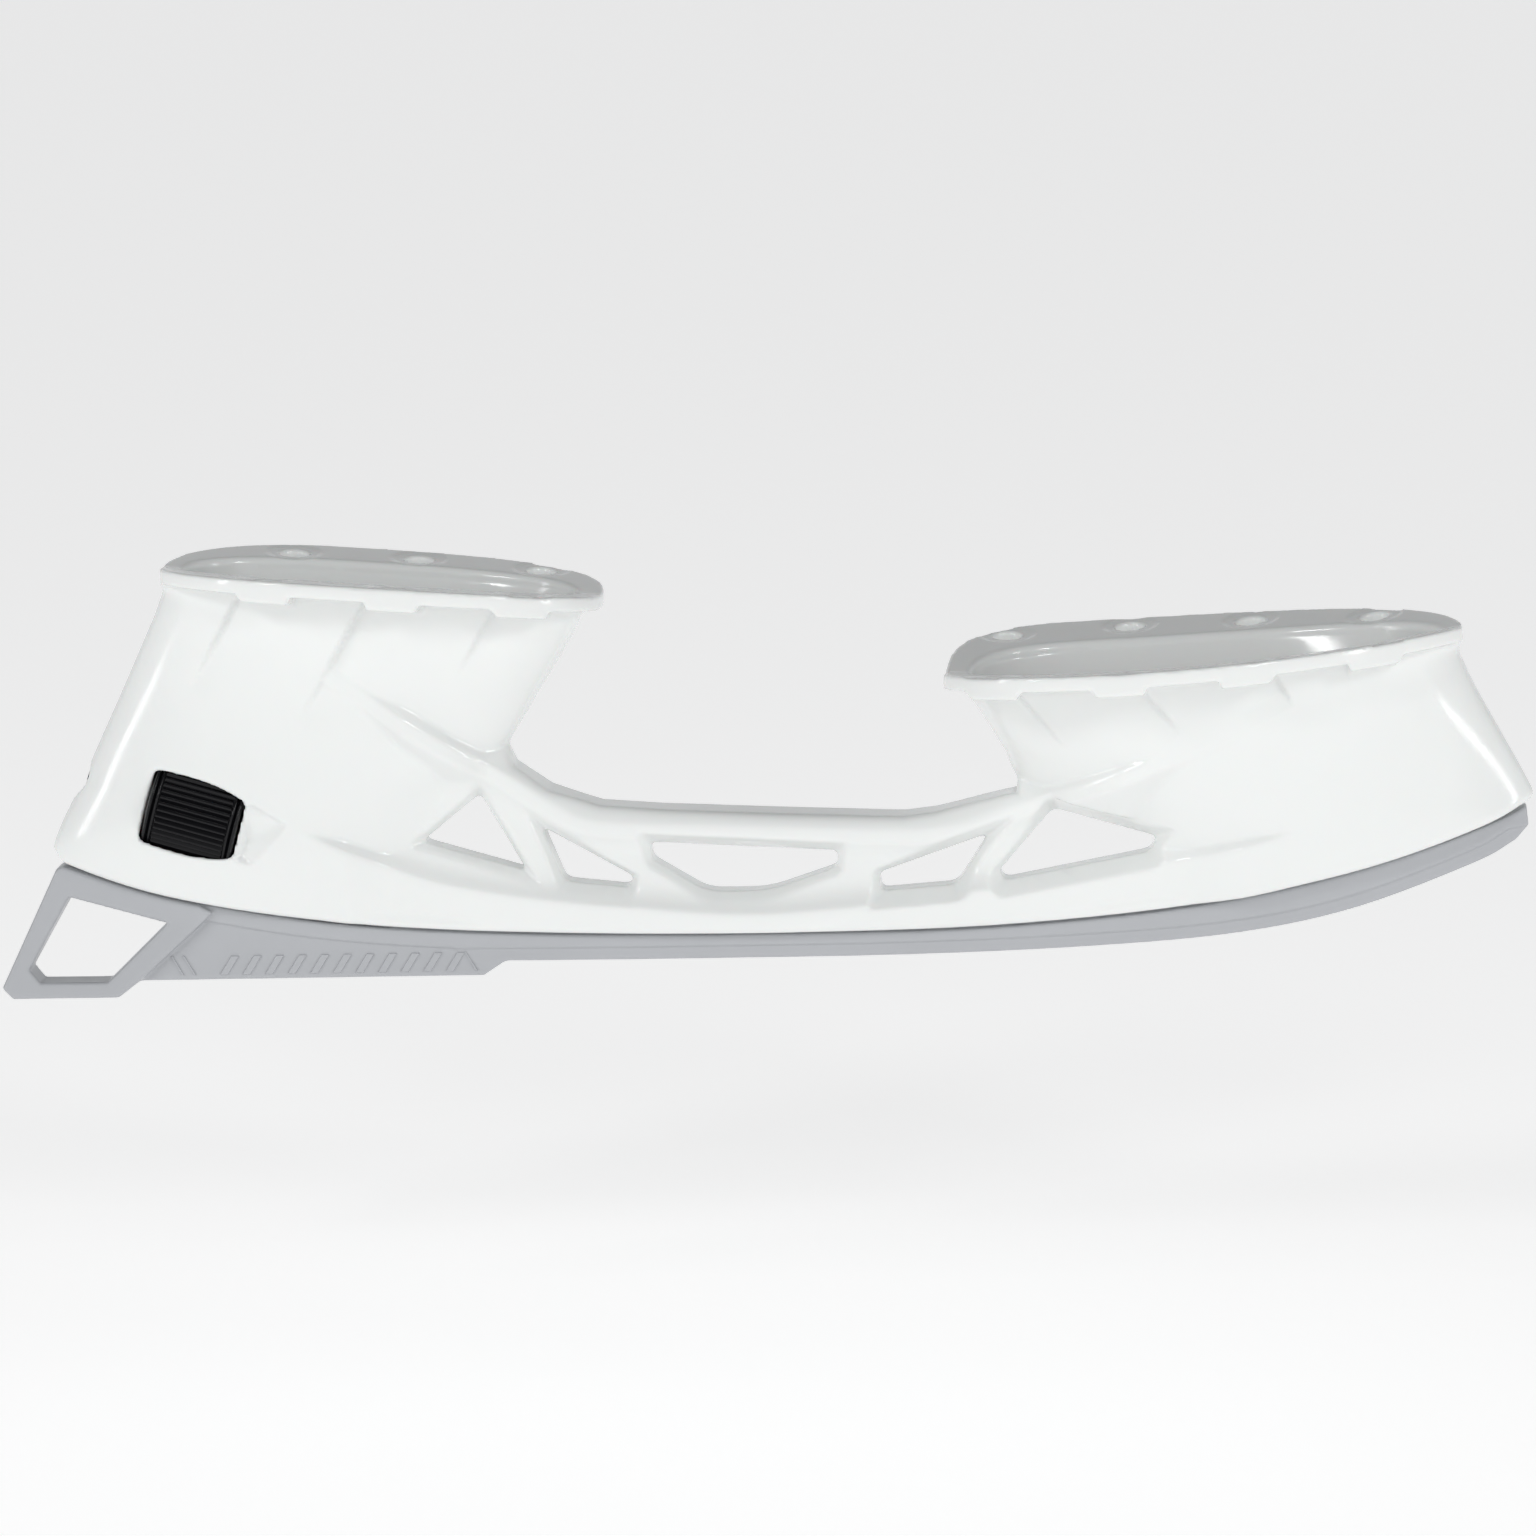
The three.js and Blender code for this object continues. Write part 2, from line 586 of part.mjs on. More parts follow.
function tensionHook() {
  const toeFrom = HOOK.fingerFrom - HOOK.toe;
  const armFrom = toeFrom - LOCK.travel - 2;
  const shaft = rod(ROD.radius, ROD.rearEnd, armFrom + 2);
  const toeTop = HOOK.toeHeight - HOOK.drop;
  const claw = slab([
    [armFrom, -HOOK.arm], [HOOK.fingerFrom, -HOOK.arm], [HOOK.fingerFrom, toeTop], [toeFrom, toeTop],
    [toeFrom, -HOOK.drop], [HOOK.fingerTo - 1.5, -HOOK.drop], [HOOK.fingerTo, 1.5 - HOOK.drop],
    [HOOK.fingerTo, 0.4], [HOOK.fingerTo - 2.2, HOOK.arm], [armFrom, HOOK.arm],
  ], HOOK.half);
  return shaft.add(claw);
}

function stopClip() {
  const from = ROD.rearEnd + CLIP.inset;
  return ring(ROD.radius + GAP, CLIP.radius, from, from + CLIP.thickness);
}

function rearPlug() {
  const neck = PLUG.face + PLUG.headLength;
  const end = PLUG.face + PLUG.length;
  return turned([
    [0, PLUG.face], [PLUG.head, PLUG.face], [PLUG.head, neck], [PLUG.radius, neck], [PLUG.radius, end],
    [0, end],
  ], 32);
}

// ---------------------------------------------------------------- runner
function runnerInsert() {
  const railEdge = smooth(RAIL_EDGE, 36);
  const railStart = railEdge[0][0];
  const bandTop = stretch(offset(soleLine, -RUNNER.seatGap), -59, RAIL_TIP[1][0]);
  const heelBand = stretch(soleLine, -58, railStart - 2).map(([x, z]) => [x, z - RUNNER.heelBand]);
  const bandBottom = [...heelBand, ...offset(railEdge, RUNNER.edgeDepth)];
  const band = slab([...bandBottom, ...RAIL_TIP, ...[...bandTop].reverse()], RUNNER.bandHalf);
  const edgeTop = offset(railEdge, RUNNER.edgeDepth + 1).reverse();
  const edge = slab([...railEdge, RAIL_TIP[0], ...edgeTop], RUNNER.edgeHalf);
  const plate = slab(PLATE_EDGE, RUNNER.edgeHalf);
  const handleFrom = HANDLE.outer[0][0] + 1.2;
  const handleTop = stretch(offset(soleLine, -RUNNER.seatGap - 0.2), handleFrom, -34).reverse();
  const handle = slab([...HANDLE.outer, ...handleTop], HANDLE.half);
  const tongues = TONGUES.map(([from, to]) => {
    const line = stretch(soleLine, from, to);
    const below = line.map(([x, z]) => [x, z - 2]);
    return slab([...below, ...offset(line, RUNNER.tongue).reverse()], RUNNER.tongueHalf);
  });
  const lugs = [REAR_LUG, frontLug(0)].map((points) => slab([...points].reverse(), RUNNER.tongueHalf));
  return unite([band, edge, plate, handle, ...tongues, ...lugs]).subtract(slab(HANDLE.inner, 20));
}

// ---------------------------------------------------------------- assembly
const part = new THREE.Group();
const lockGroup = new THREE.Group();
lockGroup.applyMatrix4(lockMatrix);
part.add(lockGroup);

function add(group, name, body, color, roughness, metalness) {
  const look = new THREE.MeshStandardMaterial({ color, roughness, metalness });
  const mesh = new THREE.Mesh(geometryOf(body), look);
  mesh.name = name;
  group.add(mesh);
}

add(part, 'holder', holderBody(), 0xf2f3f1, 0.25, 0);
add(part, 'runner_insert', runnerInsert(), 0x8f9298, 0.5, 0);
add(lockGroup, 'lock_cage_upper', upperCage(), 0x17181a, 0.4, 0);
add(lockGroup, 'lock_cage_lower', cageHalf(-1), 0x17181a, 0.4, 0);
add(lockGroup, 'click_spring', clickSpring(), 0xb8bcc0, 0.35, 1);
add(lockGroup, 'thumbwheel', thumbwheel(), 0x0c0c0d, 0.2, 0);
add(lockGroup, 'wheel_nut', wheelNut(), 0xc8a24e, 0.35, 1);
add(lockGroup, 'rear_thrust_washer', thrustWasher(-1), 0xb8bcc0, 0.35, 1);
add(lockGroup, 'front_thrust_washer', thrustWasher(1), 0xb8bcc0, 0.35, 1);
add(lockGroup, 'rod_guide_bush', guideBush(), 0xc8a24e, 0.35, 1);
add(lockGroup, 'tension_hook', tensionHook(), 0xaeb2b6, 0.3, 1);
add(lockGroup, 'stop_clip', stopClip(), 0xaeb2b6, 0.3, 1);
add(lockGroup, 'rear_plug', rearPlug(), 0x17181a, 0.4, 0);

export default part;
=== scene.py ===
"""An ice hockey blade holder with a thumbwheel lock and a moulded blank runner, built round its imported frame.

Sizes are in millimetres and become metres where a mesh is made. +X points to the toe, +Z up to the boot.
Moulded pieces are fields of distances on a grid, negative inside, that are rounded where they meet.
"""
import json
import math
import bmesh
import bpy
import numpy as np
from mathutils import Matrix, Vector


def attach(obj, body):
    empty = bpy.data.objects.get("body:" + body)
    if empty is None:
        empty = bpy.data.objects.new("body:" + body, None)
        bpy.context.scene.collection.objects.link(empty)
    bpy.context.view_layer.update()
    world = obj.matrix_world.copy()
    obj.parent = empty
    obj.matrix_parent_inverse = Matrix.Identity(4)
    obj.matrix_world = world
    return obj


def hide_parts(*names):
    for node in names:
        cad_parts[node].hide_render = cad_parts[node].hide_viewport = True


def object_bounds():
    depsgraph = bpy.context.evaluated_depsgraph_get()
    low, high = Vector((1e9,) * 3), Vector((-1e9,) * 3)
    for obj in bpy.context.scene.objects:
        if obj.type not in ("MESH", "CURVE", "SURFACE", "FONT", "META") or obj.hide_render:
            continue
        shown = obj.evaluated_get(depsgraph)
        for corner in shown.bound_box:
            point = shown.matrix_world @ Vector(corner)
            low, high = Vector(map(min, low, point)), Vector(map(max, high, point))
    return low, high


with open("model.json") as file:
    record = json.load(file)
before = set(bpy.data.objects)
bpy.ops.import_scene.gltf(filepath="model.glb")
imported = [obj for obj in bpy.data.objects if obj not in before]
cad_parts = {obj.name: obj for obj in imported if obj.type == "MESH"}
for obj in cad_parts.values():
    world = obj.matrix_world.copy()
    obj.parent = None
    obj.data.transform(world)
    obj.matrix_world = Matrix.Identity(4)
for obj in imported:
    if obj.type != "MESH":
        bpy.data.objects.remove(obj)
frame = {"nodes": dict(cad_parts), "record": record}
CAD_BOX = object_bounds()
MM = 0.001

# ---------------------------------------------------------------- sizes, as in the frame
HEEL = {
    "rear": -40.6, "widest": -9.0, "front": 40.6, "half": 25.4, "rear_power": 2.25, "front_power": 2.87,
    "start": 0.0, "ridge": -2.3, "slope": -0.0524, "bend": 0.0, "wing": 5.1,
    "rivets": ((-18.6, 18.2), (4.6, 19.2), (27.7, 16.6)),
}
TOE = {
    "rear": 103.4, "widest": 137.0, "front": 197.4, "half": 34.8, "rear_power": 3.1, "front_power": 1.95,
    "start": 105.0, "ridge": -18.1, "slope": 0.0, "bend": 0.00113, "wing": 7.0,
    "rivets": ((113.6, 25.9), (136.3, 29.5), (158.7, 26.3), (181.6, 17.9)),
}
FLANGE_PLATE, BOSS, BOSS_HALF, RIVET_RADIUS, RING_RADIUS = 2.8, 4.2, 4.7, 2.65, 5.0
WALL = 2.8

# Levels of a tower: z, tilt, rear, front, widest, half width, rear power, front power.
HEEL_TOWER = (
    (-3.2, -3.0, -39.2, 38.2, -6.0, 16.2, 2.4, 2.6),
    (-11.0, -2.0, -43.2, 35.6, -8.0, 13.4, 2.4, 2.5),
    (-22.0, 0.0, -48.2, 29.6, -11.0, 11.3, 2.4, 2.4),
    (-33.0, 0.0, -53.3, 22.8, -16.0, 10.6, 2.4, 2.2),
    (-42.0, 0.0, -57.4, 12.5, -22.0, 10.5, 2.4, 2.0),
    (-51.0, 0.0, -61.6, 7.5, -26.0, 10.0, 2.4, 1.9),
    (-60.0, 0.0, -62.0, 6.0, -28.0, 7.2, 2.4, 1.9),
    (-68.0, 0.0, -62.0, 4.0, -28.0, 4.6, 2.4, 1.9),
)
TOE_TOWER = (
    (-14.7, 5.7, 105.6, 196.0, 138.0, 22.6, 2.8, 2.0),
    (-22.0, 3.0, 109.4, 200.5, 141.0, 18.6, 2.5, 1.9),
    (-31.0, 1.5, 114.3, 206.4, 147.0, 14.6, 2.3, 1.8),
    (-38.0, 0.0, 117.8, 210.6, 154.0, 12.0, 1.9, 1.8),
    (-44.0, 0.0, 131.0, 213.0, 162.0, 10.2, 1.8, 1.9),
    (-52.0, 0.0, 140.0, 214.0, 168.0, 7.8, 1.8, 2.0),
    (-62.0, 0.0, 140.0, 214.0, 168.0, 5.2, 1.8, 2.0),
)
HEEL_CUP_FLOOR, TOE_CUP_FLOOR = -29.0, -34.0

# Side view curves, as (x, z).
SOLE_LINE = (
    (-59.4, -55.0), (-40, -60.7), (-15, -64.8), (10, -66.5), (42, -66.8), (80, -65.9),
    (114, -64.2), (150, -59.8), (178, -53.2), (201, -44.8), (210.6, -39.8),
)
HEEL_SPINE = ((-39.2, -1), (-41.8, -9), (-47.6, -21.5), (-53.4, -34.5), (-59.2, -46.6), (-61.6, -52.2))
TOE_PROW = ((211.3, -38.6), (205.4, -28.8), (199.8, -18.9), (197.2, -13.6), (196.6, -8))
BRIDGE_TOP = (
    (38.4, -5), (35.6, -11.5), (30, -21.4), (23.4, -32.2), (24.6, -35.8), (31, -40.2), (40.4, -43.0),
    (52, -43.6), (72, -44.0), (96, -44.3), (102, -43.4), (110, -41.2), (116.6, -39.6), (116.9, -37.4),
    (108.9, -23.4), (105.4, -17),
)
UPPER_RIDGE = (
    (-14, -13.4), (-5, -19.4), (3.5, -25.0), (12.4, -30.6), (22, -36.2), (32.3, -42.6), (38, -45.2),
    (48.2, -45.9), (62.5, -46.0), (94, -46.4), (103, -45.9), (109.3, -44.6), (115.3, -42.2), (122.6, -39.3),
    (134.1, -34.6), (143.1, -30.6), (156, -24.4),
)
LOWER_RIDGE = (
    (-24, -43.6), (-15, -47.2), (-3, -52.4), (10, -56.9), (28, -59.8), (48, -61.4), (70, -62.2), (98, -59.2),
    (125, -54.6), (151, -50.0), (170, -44.2), (184, -38.6),
)
WINDOWS = (
    ((7.4, -50.4), (18.2, -41.3), (26.8, -55.6)),
    ((29.4, -47.2), (46.6, -56.4), (45.6, -58.4), (33.8, -57.4)),
    ((49.6, -49.9), (84.0, -51.0), (84.0, -54.0), (71, -58.7), (60, -58.9), (49.6, -53.0)),
    ((91.6, -55.0), (111.8, -47.4), (105.8, -57.0), (92.0, -58.4)),
    ((113.4, -54.6), (123.4, -42.6), (142.4, -47.6), (141.2, -50.4), (114.6, -56.2)),
)
WEB = (
    (0, -62), (60, -64), (120, -62), (160, -50), (150, -40), (118, -42), (98, -48), (42, -48), (30, -45),
    (6, -32), (-5, -40),
)

# A beam's half width at its ridge between the towers, and the places along X where it starts to stand out of
# each tower's flank and where it stands out fully.
UPPER_BEAM = {"half": 6.4, "towers": ((HEEL_TOWER, (-5, 5)), (TOE_TOWER, (148, 136)))}
LOWER_BEAM = {"half": 7.0, "towers": ((HEEL_TOWER, (-17, -6)), (TOE_TOWER, (173, 158)))}
# The height of the upper beam's upright face, and how far both beams stand out of the flanks.
RIB_FACE, RIB_PROUD = 2.7, 1.9
# The web's half width, its windows' corners, and where and how far the windows widen toward the flanks.
WEB_HALF, WINDOW_CORNER = 4.6, 1.2
WINDOW_FLARE = {"from": 2.6, "depth": 4.4, "slope": 0.6}
GROOVE = {"half": 1.9, "depth": 4.2, "middle": 69, "half_length": 128}

# The lock's axis, and lengths along it from the middle of the thumbwheel.
LOCK = {"x": -34.1, "z": -45.3, "tilt": math.radians(14.9)}
WHEEL = {"radius": 10.8, "half": 8.5, "rim": 1.9, "ribs": 54, "rib_depth": 0.45, "ribbed": 10.55, "bead": 0.6,
         "room": 11.2}

LOCK_PLACE = Matrix.Translation((LOCK["x"] * MM, 0, LOCK["z"] * MM)) @ Matrix.Rotation(LOCK["tilt"], 4, "Y")
HOUSING = {
    "inner": 11.2, "outer": 12.1, "half": 11.5, "plate": 9.9, "half_width": 6.8, "split": 0.15, "bore": 3.6,
}

# The lock's spaces in the holder, along and round its axis. A skin is what is left outside a space.
WHEEL_WINDOW = {"half": 8.9, "height": 7.15, "front_bend": 0.0185, "rear_bend": 0.008, "corner": 1.2}
HOUSING_ROOM = {"half": 11.8, "radius": 12.4, "half_width": 7.0, "skin": 1.2}
WHEEL_SKIN = 0.9
# Bores for the stop clip, the plug's neck and head, the bush and the rod, as radius, start and end.
BORES = ((4.8, -19.0, -11.0), (3.1, -22.0, -18.0), (3.8, -31.0, -19.7), (5.3, 11.0, 16.6), (3.6, 11.0, 28.0))
HOOK_SLOT = {"start": 21.9, "end": 35.0, "half": 2.6, "top": 3.6, "bottom": -10.6}

# How far the rear of the runner drops when it swings right down, and a little more.
RUNNER_DROP = 0.064

# Runner: half thicknesses, depths under the sole line, and side view outlines.
RUNNER = {"gap": 0.6, "band": 2.3, "edge": 1.6, "tongue": 1.5, "tongue_height": 3.6, "edge_depth": 2.4,
          "heel_band": 3.8, "handle": 3.6, "hole_chamfer": 3.2}
RAIL_EDGE = (
    (14, -72.9), (36, -72.4), (57.6, -71.8), (96.3, -70.5), (129.4, -68.5), (156.8, -65.6), (178.6, -60.6),
    (200.3, -51.9), (207.6, -47.6),
)
RAIL_TIP = ((209.9, -44.8), (209.5, -41.6))
PLATE = ((-46.5, -77.5), (18.6, -75.5), (23.2, -72.3), (20, -69), (-31, -64))
HANDLE = ((-60.6, -56.4), (-71.0, -79.0), (-69.0, -81.0), (-49.2, -80.4), (-45.2, -77.2), (-31.4, -64.2))
HANDLE_HOLE = ((-58.2, -61.6), (-65.8, -75.4), (-63.8, -77.8), (-51.2, -77.5), (-40.0, -66.2))
REAR_LUG = (
    (-20.4, -66), (-20.4, -58), (-17.4, -56.6), (-12.1, -55.0), (-12.1, -57.8), (-15.3, -57.8), (-15.3, -66),
)
FRONT_LUG = ((179.5, -52), (178.7, -46), (187.7, -44.5), (188.5, -49.5))
TONGUES = ((-56, -47), (1, 196))

# The plate's ribs, and where each starts along X and how wide it is. The thin ones lean the other way.
RIBS = {"proud": 0.28, "lean": 2.1, "height": 3.7, "foot": 0.9, "sunk": 0.1, "taper": 0.12}
RIB_PLACES = [(-30.5 + 4.2 * k, 1.5) for k in range(11)] + [(-37.6, 0.5), (-35.4, 0.5), (17.0, 0.5)]


# ---------------------------------------------------------------- fields of distances
def smooth_min(a, b, radius):
    h = np.clip(0.5 + 0.5 * (b - a) / radius, 0.0, 1.0)
    return b + (a - b) * h - radius * h * (1.0 - h)


def smooth_max(a, b, radius):
    return -smooth_min(-a, -b, radius)


def step(value, width):
    """0 below -width / 2, 1 above width / 2, smooth between."""
    t = np.clip(value / width + 0.5, 0.0, 1.0)
    return t * t * (3.0 - 2.0 * t)


def spline(points, count):
    """Points of a Catmull-Rom curve through the given ones."""
    p = np.array(points, float)
    p = np.vstack([2 * p[0] - p[1], p, 2 * p[-1] - p[-2]])
    spans = len(p) - 3
    u = np.linspace(0, spans, count)
    i = np.minimum(u.astype(int), spans - 1)
    t = (u - i)[:, None]
    a, b, c, d = p[i], p[i + 1], p[i + 2], p[i + 3]
    return 0.5 * (2 * b + (c - a) * t + (2 * a - 5 * b + 4 * c - d) * t**2 + (3 * b - a - 3 * c + d) * t**3)


def polygon_distance(points, x, z):
    """Signed distance to a closed outline, negative inside."""
    corners = np.array(points, float)
    nearest = np.full(np.broadcast(x, z).shape, 1e9)
    inside = np.zeros(nearest.shape, bool)
    for (ax, az), (bx, bz) in zip(corners, np.roll(corners, -1, axis=0)):
        ex, ez = bx - ax, bz - az
        t = np.clip(((x - ax) * ex + (z - az) * ez) / (ex * ex + ez * ez), 0, 1)
        nearest = np.minimum(nearest, (x - ax - t * ex) ** 2 + (z - az - t * ez) ** 2)
        if ez != 0:
            crosses = ((az > z) != (bz > z)) & (x < ax + ex * (z - az) / ez)
            inside ^= crosses
    return np.where(inside, -1.0, 1.0) * np.sqrt(nearest)


def height_above(line, x, z):
    """Signed distance from a curve that runs toward the toe, positive above it."""
    nearest = np.full(np.broadcast(x, z).shape, 1e9)
    height = np.zeros(nearest.shape)
    for (ax, az), (bx, bz) in zip(line[:-1], line[1:]):
        ex, ez = bx - ax, bz - az
        t = np.clip(((x - ax) * ex + (z - az) * ez) / (ex * ex + ez * ez), 0, 1)
        away = (x - ax - t * ex) ** 2 + (z - az - t * ez) ** 2
        side = np.where(ex * (z - az) - ez * (x - ax) >= 0, 1.0, -1.0)
        closer = away < nearest
        height = np.where(closer, side * np.sqrt(away), height)
        nearest = np.where(closer, away, nearest)
    return height


def convex_distance(points, x, z, radius):
    """Distance to a convex outline with corners rounded by a smooth maximum, negative inside."""
    corners = np.array(points, float)
    centre = corners.mean(0)
    distance = None
    for a, b in zip(corners, np.roll(corners, -1, axis=0)):
        normal = np.array([b[1] - a[1], a[0] - b[0]]) / np.hypot(*(b - a))
        if normal @ (centre - a) > 0:
            normal = -normal
        side = (x - a[0]) * normal[0] + (z - a[1]) * normal[1]
        distance = side if distance is None else smooth_max(distance, side, radius)
    return distance


def egg_distance(x, y, rear, widest, front, half, rear_power, front_power):
    """Distance to an egg of two half superellipses with a common half width."""
    behind = x < widest
    reach = np.where(behind, widest - rear, front - widest)
    power = np.where(behind, rear_power, front_power)
    u = np.abs(x - widest) / reach + 1e-4
    v = np.abs(y) / half + 1e-4
    level = (u**power + v**power) ** (1 / power)
    slope_x = (u / level) ** (power - 1) / reach
    slope_y = (v / level) ** (power - 1) / half
    return (level - 1) / np.sqrt(slope_x**2 + slope_y**2)


def columns_at(levels, z):
    """The levels' values at any height, along a smooth curve through them."""
    table = np.array(levels)[::-1]
    curve = spline(table, 40 * len(table))
    return [np.interp(z, curve[:, 0], curve[:, k]) for k in range(1, table.shape[1])]


def tower_distance(levels, x, y, z, inset=0.0):
    """Distance to a tower whose outline changes with height, made smaller all round by the inset."""
    height = z + 0 * x
    for _ in range(4):
        tilt, rear, front = columns_at(levels, height)[:3]
        height = z - np.tan(np.radians(tilt)) * (x - (rear + front) / 2)
    _, rear, front, widest, half, rear_power, front_power = columns_at(levels, height)
    return egg_distance(x, y, rear + inset, widest, front - inset, half - inset, rear_power, front_power)


def tower_half_width(levels, x, z):
    """Half width of a tower at places of its side view."""
    _, rear, front, widest, half, rear_power, front_power = columns_at(levels, z)
    behind = x < widest
    u = np.abs(x - widest) / np.where(behind, widest - rear, front - widest)
    power = np.where(behind, rear_power, front_power)
    return half * np.clip(1 - np.clip(u, 0, 1) ** power, 0, 1) ** (1 / power)


def along_line(x, z, start, end):
    """Places along a line (0 to 1) and to the right of it, looking from its start to its end."""
    dx, dz = end[0] - start[0], end[1] - start[1]
    length = math.hypot(dx, dz)
    along = ((x - start[0]) * dx + (z - start[1]) * dz) / length**2
    aside = ((x - start[0]) * dz - (z - start[1]) * dx) / length
    return along, aside


# ---------------------------------------------------------------- grids to meshes
def axis_points(low, high, pitch):
    return np.arange(low, high + pitch, pitch)


def open_grid(axes):
    """The three axes as arrays that combine into a whole grid."""
    return axes[0][:, None, None], axes[1][None, :, None], axes[2][None, None, :]


def sample(field, places):
    """Values between grid points, by the eight around each place."""
    low = np.clip(np.floor(places).astype(int), 0, np.array(field.shape) - 2)
    t = places - low
    total = 0.0
    for corner in range(8):
        o = np.array([corner >> 2 & 1, corner >> 1 & 1, corner & 1])
        weight = np.prod(np.where(o, t, 1 - t), axis=1)
        total = total + weight * field[tuple((low + o).T)]
    return total


def gradient(field, places):
    """Slope of a field at places between grid points."""
    reach = 0.6
    parts = [sample(field, places + reach * e) - sample(field, places - reach * e) for e in np.eye(3)]
    return np.stack(parts, 1) / (2 * reach)


def surface_net(field):
    """Vertices, in grid steps, and quads of the zero surface: one vertex in each cell it crosses."""
    inside = field < 0
    nx, ny, nz = field.shape
    count = np.zeros((nx - 1, ny - 1, nz - 1), np.int8)
    for i in (0, 1):
        for j in (0, 1):
            for k in (0, 1):
                count += inside[i:nx - 1 + i, j:ny - 1 + j, k:nz - 1 + k]
    crossed = (count > 0) & (count < 8)
    index = np.full(crossed.shape, -1, np.int64)
    cells = np.argwhere(crossed)
    index[crossed] = np.arange(len(cells))
    total = np.zeros((len(cells), 3))
    number = np.zeros(len(cells))
    for axis in range(3):
        u, v = (axis + 1) % 3, (axis + 2) % 3
        for i in (0, 1):
            for j in (0, 1):
                low = np.zeros(3, int)
                low[u], low[v] = i, j
                high = low.copy()
                high[axis] = 1
                a = field[tuple((cells + low).T)]
                b = field[tuple((cells + high).T)]
                hit = (a < 0) != (b < 0)
                t = np.where(hit, a / np.where(hit, a - b, 1), 0)
                total += hit[:, None] * (low + t[:, None] * (high - low))
                number += hit
    vertices = cells + total / number[:, None]
    quads = []
    for axis in range(3):
        u, v = (axis + 1) % 3, (axis + 2) % 3
        lower = [slice(1, n - 1) for n in field.shape]
        upper = list(lower)
        lower[axis] = slice(0, field.shape[axis] - 1)
        upper[axis] = slice(1, field.shape[axis])
        a, b = inside[tuple(lower)], inside[tuple(upper)]
        for flag, order in ((a & ~b, (0, 1, 2, 3)), (~a & b, (3, 2, 1, 0))):
            at = np.argwhere(flag)
            offset = np.ones(3, int)
            offset[axis] = 0
            at = at + offset
            ring = []
            for du, dv in ((0, 0), (-1, 0), (-1, -1), (0, -1)):
                cell = at.copy()
                cell[:, u] += du
                cell[:, v] += dv
                ring.append(index[tuple(cell.T)])
            quads.append(np.stack([ring[k] for k in order], 1))
    return vertices, np.vstack(quads)


def mesh_of(name, vertices, quads):
    mesh = bpy.data.meshes.new(name)
    mesh.vertices.add(len(vertices))
    mesh.vertices.foreach_set("co", vertices.astype(np.float32).ravel())
    mesh.loops.add(quads.size)
    mesh.loops.foreach_set("vertex_index", quads.astype(np.int32).ravel())
    mesh.polygons.add(len(quads))
    mesh.polygons.foreach_set("loop_start", np.arange(0, quads.size, quads.shape[1], dtype=np.int32))
    mesh.update(calc_edges=True)
    return mesh


def face_outward(mesh):
    """Turns all faces of a closed mesh outward."""
    shape = bmesh.new()
    shape.from_mesh(mesh)
    bmesh.ops.recalc_face_normals(shape, faces=shape.faces)
    shape.to_mesh(mesh)
    shape.free()


def link(name, mesh):
    piece = bpy.data.objects.new(name, mesh)
    bpy.context.scene.collection.objects.link(piece)
    return piece


def moulded(name, half_field, axes, pitch, most_faces):
    """A mesh of a field that is given for y > 0 and is the same on the other side."""
    field = np.concatenate([half_field[:, ::-1, :], half_field], axis=1).astype(np.float32)
    low = np.array([axes[0][0], -axes[1][-1], axes[2][0]])
    vertices, quads = surface_net(field)
    for _ in range(3):
        value = sample(field, vertices)
        slope = gradient(field, vertices)
        square = np.maximum((slope**2).sum(1), 1e-3)
        shift = -(value / square)[:, None] * slope
        vertices = vertices + np.clip(shift, -0.5, 0.5)
    piece = link(name, mesh_of(name, (low + vertices * pitch) * MM, quads))
    if 2 * len(quads) > most_faces:
        thin = piece.modifiers.new("thin", "DECIMATE")
        thin.ratio = most_faces / (2 * len(quads))
        graph = bpy.context.evaluated_depsgraph_get()
        mesh = bpy.data.meshes.new_from_object(piece.evaluated_get(graph))
        piece.modifiers.clear()
        piece.data = mesh
    mesh = piece.data
    places = np.zeros(len(mesh.vertices) * 3)
    mesh.vertices.foreach_get("co", places)
    slope = gradient(field, (places.reshape(-1, 3) / MM - low) / pitch)
    slope /= np.linalg.norm(slope, axis=1, keepdims=True) + 1e-9
    mesh.polygons.foreach_set("use_smooth", np.ones(len(mesh.polygons), bool))
    mesh.normals_split_custom_set_from_vertices(slope.tolist())
    return piece


# ---------------------------------------------------------------- holder
def flange_top(flange, x, y, z):
    """Height above the flange's top face."""
    along = x - flange["start"]
    wing = math.tan(math.radians(flange["wing"]))
    ridge = flange["ridge"] + flange["slope"] * along + flange["bend"] * along**2
    return z - ridge - wing * np.abs(y)


def flange_slab(flange, x, y, z):
    """The flange without its top face: its outline and its stepped underside."""
    keys = ("rear", "widest", "front", "half", "rear_power", "front_power")
    outline = egg_distance(x, y, *(flange[key] for key in keys))
    boss = 0.0
    for rx, ry in flange["rivets"]:
        across = step(BOSS_HALF - np.abs(x - rx), 0.7)
        outward = step(np.abs(y) - (ry - BOSS_HALF), 0.9)
        boss = np.maximum(boss, across * outward)
    thickness = FLANGE_PLATE + (BOSS - FLANGE_PLATE) * boss
    return smooth_max(outline, -(flange_top(flange, x, y, z) + thickness), 0.5)


def rivet_holes(flange, x, y):
    """Distance to the nearest of a flange's rivet holes, negative inside it."""
    distance = 1e9
    for rx, ry in flange["rivets"]:
        distance = np.minimum(distance, np.hypot(x - rx, y - ry))
    return distance - RIVET_RADIUS


